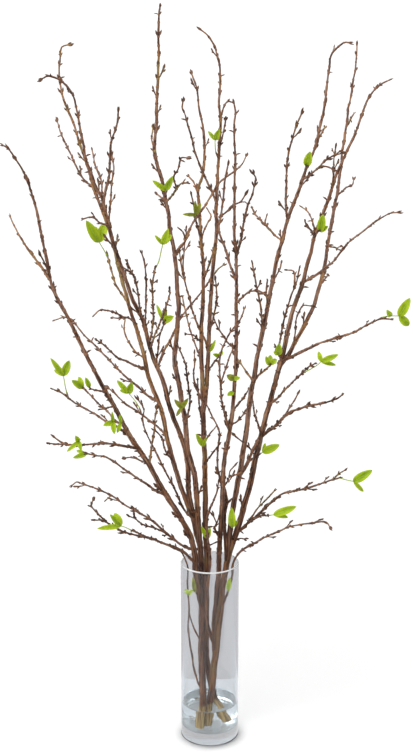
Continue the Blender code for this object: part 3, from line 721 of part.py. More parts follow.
def islands(bm):
    """The faces of a mesh in groups that hang together."""
    left = set(bm.faces)
    groups = []
    while left:
        group = []
        waiting = [left.pop()]
        while waiting:
            face = waiting.pop()
            group.append(face)
            for edge in face.edges:
                for other in edge.link_faces:
                    if other in left:
                        left.remove(other)
                        waiting.append(other)
        groups.append(group)
    return groups


def keep_outer_skin(mesh):
    """Fill the pockets that fusing seals, by keeping only the largest closed skin."""
    bm = bmesh.new()
    bm.from_mesh(mesh)
    groups = sorted(islands(bm), key=len)
    for group in groups[:-1]:
        bmesh.ops.delete(bm, geom=group, context="FACES")
    bmesh.ops.dissolve_limit(bm, angle_limit=math.radians(FLAT_DEG), verts=bm.verts,
                             edges=bm.edges)
    bmesh.ops.triangulate(bm, faces=bm.faces)
    bm.to_mesh(mesh)
    bm.free()
    return len(groups) - 1


def fuse(name, base, extras, material):
    """Join the extras into the base with one Boolean union, then drop them."""
    group = bpy.data.collections.new(name + "_pieces")
    bpy.context.scene.collection.children.link(group)
    for extra in extras:
        bpy.context.scene.collection.objects.unlink(extra)
        group.objects.link(extra)
    union = base.modifiers.new("union", "BOOLEAN")
    union.operation = "UNION"
    union.operand_type = "COLLECTION"
    union.collection = group
    union.solver = "MANIFOLD"
    depsgraph = bpy.context.evaluated_depsgraph_get()
    joined = bpy.data.meshes.new_from_object(base.evaluated_get(depsgraph))
    base.modifiers.clear()
    base.data = joined
    for extra in extras:
        bpy.data.objects.remove(extra)
    bpy.data.collections.remove(group)
    dropped = keep_outer_skin(joined)
    if dropped:
        print(name, "had", dropped, "sealed pockets or scraps, now gone")
    joined.name = name
    joined.materials.clear()
    joined.materials.append(material)
    joined.shade_smooth()
    joined.set_sharp_from_angle(angle=math.radians(SHARP_DEG))
    return base


def trunk_points(stem):
    """A trunk's points in metres, from just above the glass floor."""
    points = [sight_point(point) for point in stem["view"]]
    points[0].z = VASE_BASE + GAP
    return points


def build_branch(name, rows, rng, material):
    """All stems and buds of one branch as one solid."""
    stems = lay_out(rows)
    pieces = []
    for stem_name, stem in stems.items():
        radii = stem["radii"]
        is_trunk = stem["parent"] is None
        if is_trunk:
            points = trunk_points(stem)
        else:
            points = [sight_point(point) for point in stem["view"]]
        sides = stem_sides(radii[0])

        def tube(bm, points=points, radii=radii, sides=sides, is_trunk=is_trunk):
            add_tube(bm, points, radii, sides, level_foot=is_trunk)

        pieces.append(place(tube, name if is_trunk else stem_name))
        if stem_name.endswith("spur"):
            continue
        for foot, axis, length in bud_places(points, radii, rng):
            def bud(bm, foot=foot, axis=axis, length=length):
                add_bud(bm, foot, axis, length)

            pieces.append(place(bud, stem_name + "_bud"))
    branch = fuse(name, pieces[0], pieces[1:], material)
    return branch, stems


def add_blade(bm, base, tip, width, facing):
    """A folded pointed leaf blade of even thickness from its base to its tip."""
    along = (tip - base).normalized()
    across = along.cross(facing).normalized()
    normal = across.cross(along).normalized()
    lift = normal * BLADE_THICKNESS / 2 * MM

    def pair(corner):
        return bm.verts.new(corner + lift), bm.verts.new(corner - lift)

    foot = pair(base)
    rows = []
    stations = BROAD_STATIONS if width > BROAD_FROM * CM else NARROW_STATIONS
    for share_along, share_wide in stations:
        bow = normal * math.sin(math.pi * share_along) * (tip - base).length * BLADE_BOW
        middle = base.lerp(tip, share_along) + bow
        half = across * width * share_wide / 2
        fold = normal * half.length * BLADE_FOLD
        rows.append([pair(middle - half + fold), pair(middle), pair(middle + half + fold)])
    peak = pair(tip)
    for ends, row in ((foot, rows[0]), (peak, rows[-1])):
        for left, right in zip(row, row[1:]):
            bm.faces.new((ends[0], left[0], right[0]))
            bm.faces.new((ends[1], left[1], right[1]))
        for edge in (row[0], row[-1]):
            bm.faces.new((ends[0], edge[0], edge[1], ends[1]))
    for near, far in zip(rows, rows[1:]):
        for left in range(len(near) - 1):
            for layer in (0, 1):
                bm.faces.new((near[left][layer], near[left + 1][layer],
                              far[left + 1][layer], far[left][layer]))
        for edge in (0, -1):
            bm.faces.new((near[edge][0], near[edge][1], far[edge][1], far[edge][0]))
    bmesh.ops.recalc_face_normals(bm, faces=bm.faces)
    bmesh.ops.triangulate(bm, faces=bm.faces)


def build_sprig(name, twig, stalk, blades, material):
    """A green stalk that starts just past its twig's end, with its blades fused on."""
    twig_end = sight_point(twig["view"][-1])
    before_end = sight_point(twig["view"][-2])
    onward = (twig_end - before_end).normalized()
    start = twig_end + onward * GAP
    points = [start, start + onward * STALK_LEAD * MM] + [sight_point(point) for point in stalk]
    radii = [STALK_RADIUS] * len(points)

    def tube(bm):
        add_tube(bm, points, radii, STALK_SIDES)

    pieces = [place(tube, name)]
    for base, tip, width, base_depth, tip_depth in blades:
        foot = sight_point((*base, base_depth))
        end = sight_point((*tip, tip_depth))
        facing = (EYE - foot).normalized()
        end_of_stalk = min(points[2:], key=lambda point: (point - foot).length)
        foot = end_of_stalk - (end - end_of_stalk).normalized() * BLADE_SUNK * MM

        def blade(bm, foot=foot, end=end, width=width, facing=facing):
            add_blade(bm, foot, end, width * CM, facing)

        pieces.append(place(blade, name + "_blade"))
    return fuse(name, pieces[0], pieces[1:], material)


def arc(middle_x, middle_z, radius, start_deg, end_deg, steps):
    """Points of a rounded corner of a profile, in the XZ plane."""
    points = []
    for step in range(steps + 1):
        angle = math.radians(start_deg + (end_deg - start_deg) * step / steps)
        points.append((middle_x + radius * math.cos(angle), middle_z + radius * math.sin(angle)))
    return points


def add_turned(bm, profile, sides):
    """Turn an open profile from axis to axis about +Z into a closed solid."""
    rings = []
    for radius, height in profile:
        if radius == 0:
            rings.append([bm.verts.new((0, 0, height))])
            continue
        ring = []
        for side in range(sides):
            angle = 2 * math.pi * side / sides
            ring.append(bm.verts.new((radius * math.cos(angle), radius * math.sin(angle), height)))
        rings.append(ring)
    for low, high in zip(rings, rings[1:]):
        for side in range(sides):
            after = (side + 1) % sides
            if len(low) == 1:
                bm.faces.new((low[0], high[after], high[side]))
            elif len(high) == 1:
                bm.faces.new((low[side], low[after], high[0]))
            else:
                bm.faces.new((low[side], low[after], high[after], high[side]))


def build_vase(material):
    """The glass cylinder: heavy base, straight wall and softly rounded rim."""
    inner = VASE_RADIUS - VASE_WALL
    profile = [(0, 0)]
    profile += arc(VASE_RADIUS - FOOT_ROUNDING, FOOT_ROUNDING, FOOT_ROUNDING, -90, 0, 2)
    rim_top = VASE_HEIGHT - RIM_ROUNDING
    profile += arc(VASE_RADIUS - RIM_ROUNDING, rim_top, RIM_ROUNDING, 0, 90, 2)
    profile += arc(inner + RIM_ROUNDING, rim_top, RIM_ROUNDING, 90, 180, 2)
    corner = FLOOR_ROUNDING
    profile += arc(inner - corner, VASE_BASE + corner, corner, 0, -90, 3)
    profile.append((0, VASE_BASE))

    def turned(bm):
        add_turned(bm, profile, VASE_SIDES)

    vase = place(turned, "vase", material)
    vase.data.shade_smooth()
    vase.data.set_sharp_from_angle(angle=math.radians(SHARP_DEG))
    return vase


def build_water(branches, material):
    """The water, a hair's breadth inside the glass, with plain holes for the stems."""
    radius = VASE_RADIUS - VASE_WALL - GAP
    corner = FLOOR_ROUNDING
    low = VASE_BASE + GAP
    profile = [(0, low)]
    profile += arc(radius - corner, low + corner, corner, -90, 0, 3)
    profile += [(radius, WATER_LEVEL), (0, WATER_LEVEL)]

    def turned(bm):
        add_turned(bm, profile, VASE_SIDES)

    water = place(turned, "water", material)
    for stems in branches:
        stem = stems["trunk"]
        points = trunk_points(stem)
        run = points[1] - points[0]
        points[0] = points[0] - run * (HOLE_DEPTH / run.z)
        wet = [point for point in points if point.z < WATER_LEVEL]
        last = len(wet) + 2
        sides = stem_sides(stem["radii"][0])
        reach = 1 / math.cos(math.pi / sides)
        radii = [radius + HOLE_CLEAR * reach for radius in stem["radii"][:last]]

        def tube(bm, points=points[:last], radii=radii, sides=sides):
            add_tube(bm, points, radii, sides, level_foot=True)

        cutter = place(tube, "stem_hole")
        cutter.hide_render = True
        cutter.display_type = "WIRE"
        cut = water.modifiers.new("stem_hole", "BOOLEAN")
        cut.operation = "DIFFERENCE"
        cut.object = cutter
        cut.solver = "EXACT"
    return water


def main():
    clear_scene()
    bark = make_material("bark", BARK_BROWN, 0.75)
    leaf = make_material("leaf", LEAF_GREEN, 0.5)
    glass = make_material("glass", GLASS_TINT, 0.02, transmission=1.0, ior=1.5)
    liquid = make_material("water", WATER_TINT, 0.0, transmission=1.0, ior=1.33)
    rng = random.Random(BUD_SEED)
    build_vase(glass)
    layouts = {}
    for name, rows in BRANCHES.items():
        _, layouts[name] = build_branch(name, rows, rng, bark)
    build_water(layouts.values(), liquid)
    for number, (branch, twig, stalk, blades) in enumerate(SPRIGS, start=1):
        name = f"leaf_sprig_{number:02d}"
        build_sprig(name, layouts[branch][twig], stalk, blades, leaf)


main()
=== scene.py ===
# %% [markdown]
# # Budding branches in a glass cylinder vase
#
# The real object is three woody cut branches, each forking into tall shoots and fine twigs,
# with pairs of pointed buds and a few young leaves. They stand in a plain glass cylinder with
# a little water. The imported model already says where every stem, leaf and pane of glass is.
# This lesson dresses it: finer bark, buds and leaves take the place of the faceted solids, and
# every surface gets a procedural material.

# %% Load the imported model
import math
import random

import bmesh
import bpy
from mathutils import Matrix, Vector, noise


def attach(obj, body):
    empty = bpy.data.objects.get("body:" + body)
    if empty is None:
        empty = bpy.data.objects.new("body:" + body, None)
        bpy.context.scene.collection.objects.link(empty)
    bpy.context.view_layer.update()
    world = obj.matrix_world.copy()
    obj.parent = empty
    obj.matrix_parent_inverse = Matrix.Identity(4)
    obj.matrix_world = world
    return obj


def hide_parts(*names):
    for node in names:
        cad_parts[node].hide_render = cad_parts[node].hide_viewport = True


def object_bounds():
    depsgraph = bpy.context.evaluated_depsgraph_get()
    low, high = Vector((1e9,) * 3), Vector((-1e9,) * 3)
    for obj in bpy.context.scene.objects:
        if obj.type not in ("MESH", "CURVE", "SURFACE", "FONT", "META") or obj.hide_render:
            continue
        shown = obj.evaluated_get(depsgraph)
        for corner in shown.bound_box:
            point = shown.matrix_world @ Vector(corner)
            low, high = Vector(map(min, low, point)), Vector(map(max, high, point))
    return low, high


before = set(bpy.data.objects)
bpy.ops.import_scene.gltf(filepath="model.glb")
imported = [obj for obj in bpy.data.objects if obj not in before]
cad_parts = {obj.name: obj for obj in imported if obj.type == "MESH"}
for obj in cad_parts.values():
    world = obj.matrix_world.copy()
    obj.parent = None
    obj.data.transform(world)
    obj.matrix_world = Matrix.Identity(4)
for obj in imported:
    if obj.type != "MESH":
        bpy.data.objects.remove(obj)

MM = 0.001
CM = 0.01
CAD_BOX = [list(corner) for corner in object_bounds()]
print("CAD box in metres:", CAD_BOX)

# %% [markdown]
# ## The camera
#
# A camera could be nudged by eye until the picture looks right. Here its place was worked out
# once, and every stem's route was then read through it, so it is set from plain numbers: a
# little above the middle of the branches, 2.2 metres away, tilted 15 degrees down. That is why
# the mouth of the vase shows as an ellipse.

# %% Camera
EYE = Vector((-0.0056, -2.2, 1.236))
TILT_DEG = 75.1255
LENS_MM = 65.63
SENSOR_MM = 36
SEES_TO_M = 200

camera = bpy.data.objects.new("camera", bpy.data.cameras.new("camera"))
camera.location = EYE
camera.rotation_euler = (math.radians(TILT_DEG), 0, 0)
camera.data.lens = LENS_MM
camera.data.sensor_width = SENSOR_MM
camera.data.clip_end = SEES_TO_M
bpy.context.scene.collection.objects.link(camera)
bpy.context.scene.camera = camera
print("camera at", tuple(round(value, 3) for value in camera.location))

# %% [markdown]
# ## One helper for every node, and one for colour
#
# Materials and Geometry Nodes are both trees of nodes. One small function adds a node with its
# settings, and feeds its inputs with plain values or with earlier nodes. Colours are written
# as they look on a screen, in sRGB hex, and one function turns them to the linear values that
# the renderer works in.

# %% Node and colour helpers
def linear(hex_colour):
    """Turn an sRGB hex colour into linear red, green, blue and a full alpha."""
    channels = []
    for start in (0, 2, 4):
        value = int(hex_colour[start:start + 2], 16) / 255
        channels.append(value / 12.92 if value <= 0.04045 else ((value + 0.055) / 1.055) ** 2.4)
    return (*channels, 1.0)


def feed(node, inputs):
    """Give inputs, by name or in order, a value, a hex colour, an output or a node, which
    stands for its first live output."""
    for name, value in inputs.items() if isinstance(inputs, dict) else enumerate(inputs):
        socket = node.inputs[name]
        if isinstance(value, bpy.types.Node):
            value = next(output for output in value.outputs if output.enabled)
        if isinstance(value, bpy.types.NodeSocket):
            node.id_data.links.new(value, socket)
        elif isinstance(value, str) and socket.type == "RGBA":
            socket.default_value = linear(value)
        else:
            socket.default_value = value


def add(tree, kind, inputs=None, stops=(), **settings):
    """Add a node with its settings and inputs; a ramp's stops are hex colours or grey values."""
    node = tree.nodes.new(kind)
    for name, value in settings.items():
        setattr(node, name, value)
    if stops:
        elements = node.color_ramp.elements
        while len(elements) < len(stops):
            elements.new(0.5)
        for element, (place, shade) in zip(elements, stops):
            element.position = place
            element.color = linear(shade) if isinstance(shade, str) else (*[shade] * 3, 1)
    feed(node, inputs or {})
    return node


# The sockets of a Mix node that blends colours have the same names as others, so they are
# picked by number.
FACTOR, UNDER, OVER = 0, 6, 7
print("node helpers are ready")

# %% [markdown]
# ## White floor
#
# The object stands on a plain white sweep. A bent backdrop could be modelled, but a wide floor
# that is lit to almost full white, under a white world, leaves no horizon either. So only the
# soft shade at the vase's foot shows that there is a floor.

# %% White floor
BOUNCES = 24
GLOSSY_BOUNCES = 16
FLOOR_HALF = 60.0

studio = bpy.context.scene
studio.view_settings.view_transform = "Standard"
studio.cycles.max_bounces = studio.cycles.transmission_bounces = BOUNCES
studio.cycles.glossy_bounces = GLOSSY_BOUNCES


def link_mesh(name, vertices, faces):
    """A new object in the scene, from corners and faces."""
    mesh = bpy.data.meshes.new(name)
    mesh.from_pydata([tuple(vertex) for vertex in vertices], [], faces)
    mesh.update()
    thing = bpy.data.objects.new(name, mesh)
    studio.collection.objects.link(thing)
    return thing


def new_material(name):
    """A new material, its tree and its main shader."""
    material = bpy.data.materials.new(name)
    material.use_nodes = True
    return material, material.node_tree, material.node_tree.nodes["Principled BSDF"]


half = FLOOR_HALF
floor = link_mesh("studio_floor", [(-half, -half, 0), (half, -half, 0), (half, half, 0),
                                   (-half, half, 0)], [(0, 1, 2, 3)])
paper, tree, shader = new_material("white_paper_sweep")
speck = add(tree, "ShaderNodeTexNoise", {"Scale": 3.0, "Detail": 2.0})
white = add(tree, "ShaderNodeValToRGB", {"Fac": speck}, [(0.3, 0.85), (0.7, 0.87)])
feed(shader, {"Base Color": white, "Roughness": 0.9, "Specular IOR Level": 0.0})
floor.data.materials.append(paper)
floor.visible_glossy = False
print("floor is", 2 * FLOOR_HALF, "m across")

# %% [markdown]
# ## A card for the glass
#
# Clear glass has no colour of its own and is drawn by what stands round it. Grey could be
# painted on it, but that would look wrong from every other side. So a pale grey card stands
# behind the vase where only glass can see it. A paler strip runs from its foot towards the
# vase, close over the floor, and brightens the thick base.

# %% Card that only the glass sees
CARD_FOOT = 0.20
CARD_HEIGHT = 1.3
CARD_HALF = 1.2
CARD_FRONT = 0.056
CARD_LIFT = 0.0006

card = link_mesh("studio_card", [(-CARD_HALF, CARD_FOOT, 0), (CARD_HALF, CARD_FOOT, 0),
                                 (CARD_HALF, CARD_FOOT, CARD_HEIGHT),
                                 (-CARD_HALF, CARD_FOOT, CARD_HEIGHT),
                                 (-CARD_HALF, CARD_FRONT, CARD_LIFT),
                                 (CARD_HALF, CARD_FRONT, CARD_LIFT)],
                 [(0, 1, 2, 3), (0, 4, 5, 1)])
for number, (name, shade) in enumerate((("pale_grey_card", "cecccf"),
                                        ("paler_card_foot", "e6e9ee"))):
    grey, tree, shader = new_material(name)
    feed(shader, {"Base Color": "000000", "Specular IOR Level": 0.0, "Emission Color": shade,
                  "Emission Strength": 1.0})
    card.data.materials.append(grey)
    card.data.polygons[number].material_index = number
card.visible_camera = card.visible_diffuse = card.visible_shadow = False
print("card stands", CARD_FOOT, "m behind the vase's axis")

# %% [markdown]
# ## Shade at the foot
#
# A glass vase casts almost no shadow under a wide soft light, yet the photo shows a soft grey
# pool and a fine dark line where it meets the table. A felt disc a few millimetres up, thinner
# towards its edge and unseen by the camera, holds some light off the floor and makes the pool.
# A narrow uneven ring lies on the floor under the foot and makes the line.

# %% Felt disc and foot ring
DISC_RADIUS = 0.064
DISC_LIFT = 0.007
DISC_FORWARD = 0.008
DISC_SIDES = 36
RING_INNER = 0.0478
RING_OUTER = 0.0506
RING_LIFT = 0.0004
RING_SIDES = 72


def circle_of(radius, height, sides):
    """Evenly spaced places on a level circle round the vase's axis."""
    angles = [2 * math.pi * side / sides for side in range(sides)]
    return [(radius * math.cos(angle), radius * math.sin(angle), height) for angle in angles]


disc = link_mesh("foot_shade", [(0, 0, DISC_LIFT), *circle_of(DISC_RADIUS, DISC_LIFT, DISC_SIDES)],
                 [(0, side, side % DISC_SIDES + 1) for side in range(1, DISC_SIDES + 1)])
felt, tree, shader = new_material("thin_grey_felt")
feed(shader, {"Base Color": "70747c"})
place = add(tree, "ShaderNodeTexCoord").outputs["Object"]
from_axis = add(tree, "ShaderNodeVectorMath", (place,), operation="LENGTH")
share = add(tree, "ShaderNodeMath", (from_axis, DISC_RADIUS), operation="DIVIDE")
cover = add(tree, "ShaderNodeValToRGB", {"Fac": share},
            [(0.62, 0.6), (0.72, 1.0), (0.82, 0.42), (1.0, 0.0)])
clear = add(tree, "ShaderNodeBsdfTransparent")
veil = add(tree, "ShaderNodeMixShader", {"Fac": cover, 1: clear, 2: shader})
feed(tree.nodes["Material Output"], {"Surface": veil})
disc.data.materials.append(felt)
disc.visible_camera = disc.visible_glossy = disc.visible_transmission = False
disc.location.y = -DISC_FORWARD

sides = range(RING_SIDES)
ring = link_mesh("foot_ring", circle_of(RING_INNER, RING_LIFT, RING_SIDES)
                 + circle_of(RING_OUTER, RING_LIFT, RING_SIDES),
                 [(side, (side + 1) % RING_SIDES, (side + 1) % RING_SIDES + RING_SIDES,
                   side + RING_SIDES) for side in sides])
dusk, tree, shader = new_material("contact_shadow_line")
speck = add(tree, "ShaderNodeTexNoise", {"Scale": 7.0, "Detail": 2.0})
uneven = add(tree, "ShaderNodeValToRGB", {"Fac": speck}, [(0.42, "2e3032"), (0.58, "b4b6ba")])
feed(shader, {"Base Color": uneven, "Specular IOR Level": 0.0})
ring.data.materials.append(dusk)
ring.visible_glossy = False
print("foot shade reaches", round(DISC_RADIUS / MM), "mm from the axis")

# %% [markdown]
# ## World
#
# The camera sees a plain white world. The glass needs a room instead, with a bright front, a
# darker back and a soft glow overhead, or it would vanish. The light path tells which
# kind of ray is asking, so mirrored rays, rays through glass and rays that light the bark each
# get their own surroundings.

# %% White world with a grey room for the glass
OVERHEAD_GLOW = 2.2
GLOW_THROUGH_GLASS = 0.35
SEEN_WHITE = (1.3, 1.3, 1.3, 1)
WORLD_STRENGTH = 0.88

world = bpy.data.worlds.new("white_studio")
studio.world = world
world.use_nodes = True
tree = world.node_tree
direction = add(tree, "ShaderNodeTexCoord").outputs["Generated"]
parts = add(tree, "ShaderNodeSeparateXYZ", {"Vector": direction}).outputs
sideways = add(tree, "ShaderNodeMath", (parts["X"],), operation="ABSOLUTE")
backward = add(tree, "ShaderNodeMath", (parts["Y"], -0.5, 0.5), operation="MULTIPLY_ADD")
surround, room, sides_seen, upper = (
    add(tree, "ShaderNodeValToRGB", {"Fac": source}, stops) for source, stops in (
        (sideways, [(0.25, 0.66), (0.75, 0.56), (1.0, 0.48)]),
        (backward, [(0.10, 0.90), (0.50, 0.66), (0.85, 0.32), (1.0, 0.20)]),
        (sideways, [(0.25, 0.90), (0.75, 0.86), (1.0, 0.80)]),
        (parts["Z"], [(0.25, 0.0), (0.70, 1.0)])))
overhead = add(tree, "ShaderNodeMath", (upper, OVERHEAD_GLOW), operation="MULTIPLY")
softer = add(tree, "ShaderNodeMath", (overhead, GLOW_THROUGH_GLASS), operation="MULTIPLY")
mirrored, through = (
    add(tree, "ShaderNodeMix", {FACTOR: 1.0, UNDER: walls, OVER: glow}, data_type="RGBA",
        blend_type="ADD") for walls, glow in ((room, overhead), (sides_seen, softer)))
path = add(tree, "ShaderNodeLightPath").outputs
shade = surround
for ray, seen in (("Is Glossy Ray", mirrored), ("Is Transmission Ray", through),
                  ("Is Camera Ray", SEEN_WHITE)):
    shade = add(tree, "ShaderNodeMix", {FACTOR: path[ray], UNDER: shade, OVER: seen},
                data_type="RGBA")
feed(tree.nodes["Background"], {"Color": shade, "Strength": WORLD_STRENGTH})
print("world has", len(tree.nodes), "nodes")

# %% [markdown]
# ## Two softboxes
#
# Area lamps would leave their shapes in the glass. Two wide suns don't, and their angle sets
# how soft the shade is: one stands high in front on the left, one overhead.

# %% Lights
SOFTBOXES = (("front_left_softbox", 46, -38, 2.1, 48), ("overhead_softbox", 8, 0, 0.9, 80))

for name, tilt_deg, turn_deg, strength, softness_deg in SOFTBOXES:
    lamp = bpy.data.lights.new(name, "SUN")
    lamp.energy = strength
    lamp.angle = math.radians(softness_deg)
    softbox = bpy.data.objects.new(name, lamp)
    softbox.rotation_euler = (math.radians(tilt_deg), 0, math.radians(turn_deg))
    studio.collection.objects.link(softbox)
print("softboxes:", [name for name, *_ in SOFTBOXES])

# %% [markdown]
# ## The stems' routes
#
# Each branch is a list of stems. A stem names what it forks from and the places that it passes
# through, in centimetres across and up on the upright plane through the vase's axis, and some
# of them also say how far the stem lies behind (or, with a minus, in front of) that plane.
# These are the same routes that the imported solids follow, so the finer bark stays where the
# solids are. Sprigs of leaves grow from the ends of named twigs.

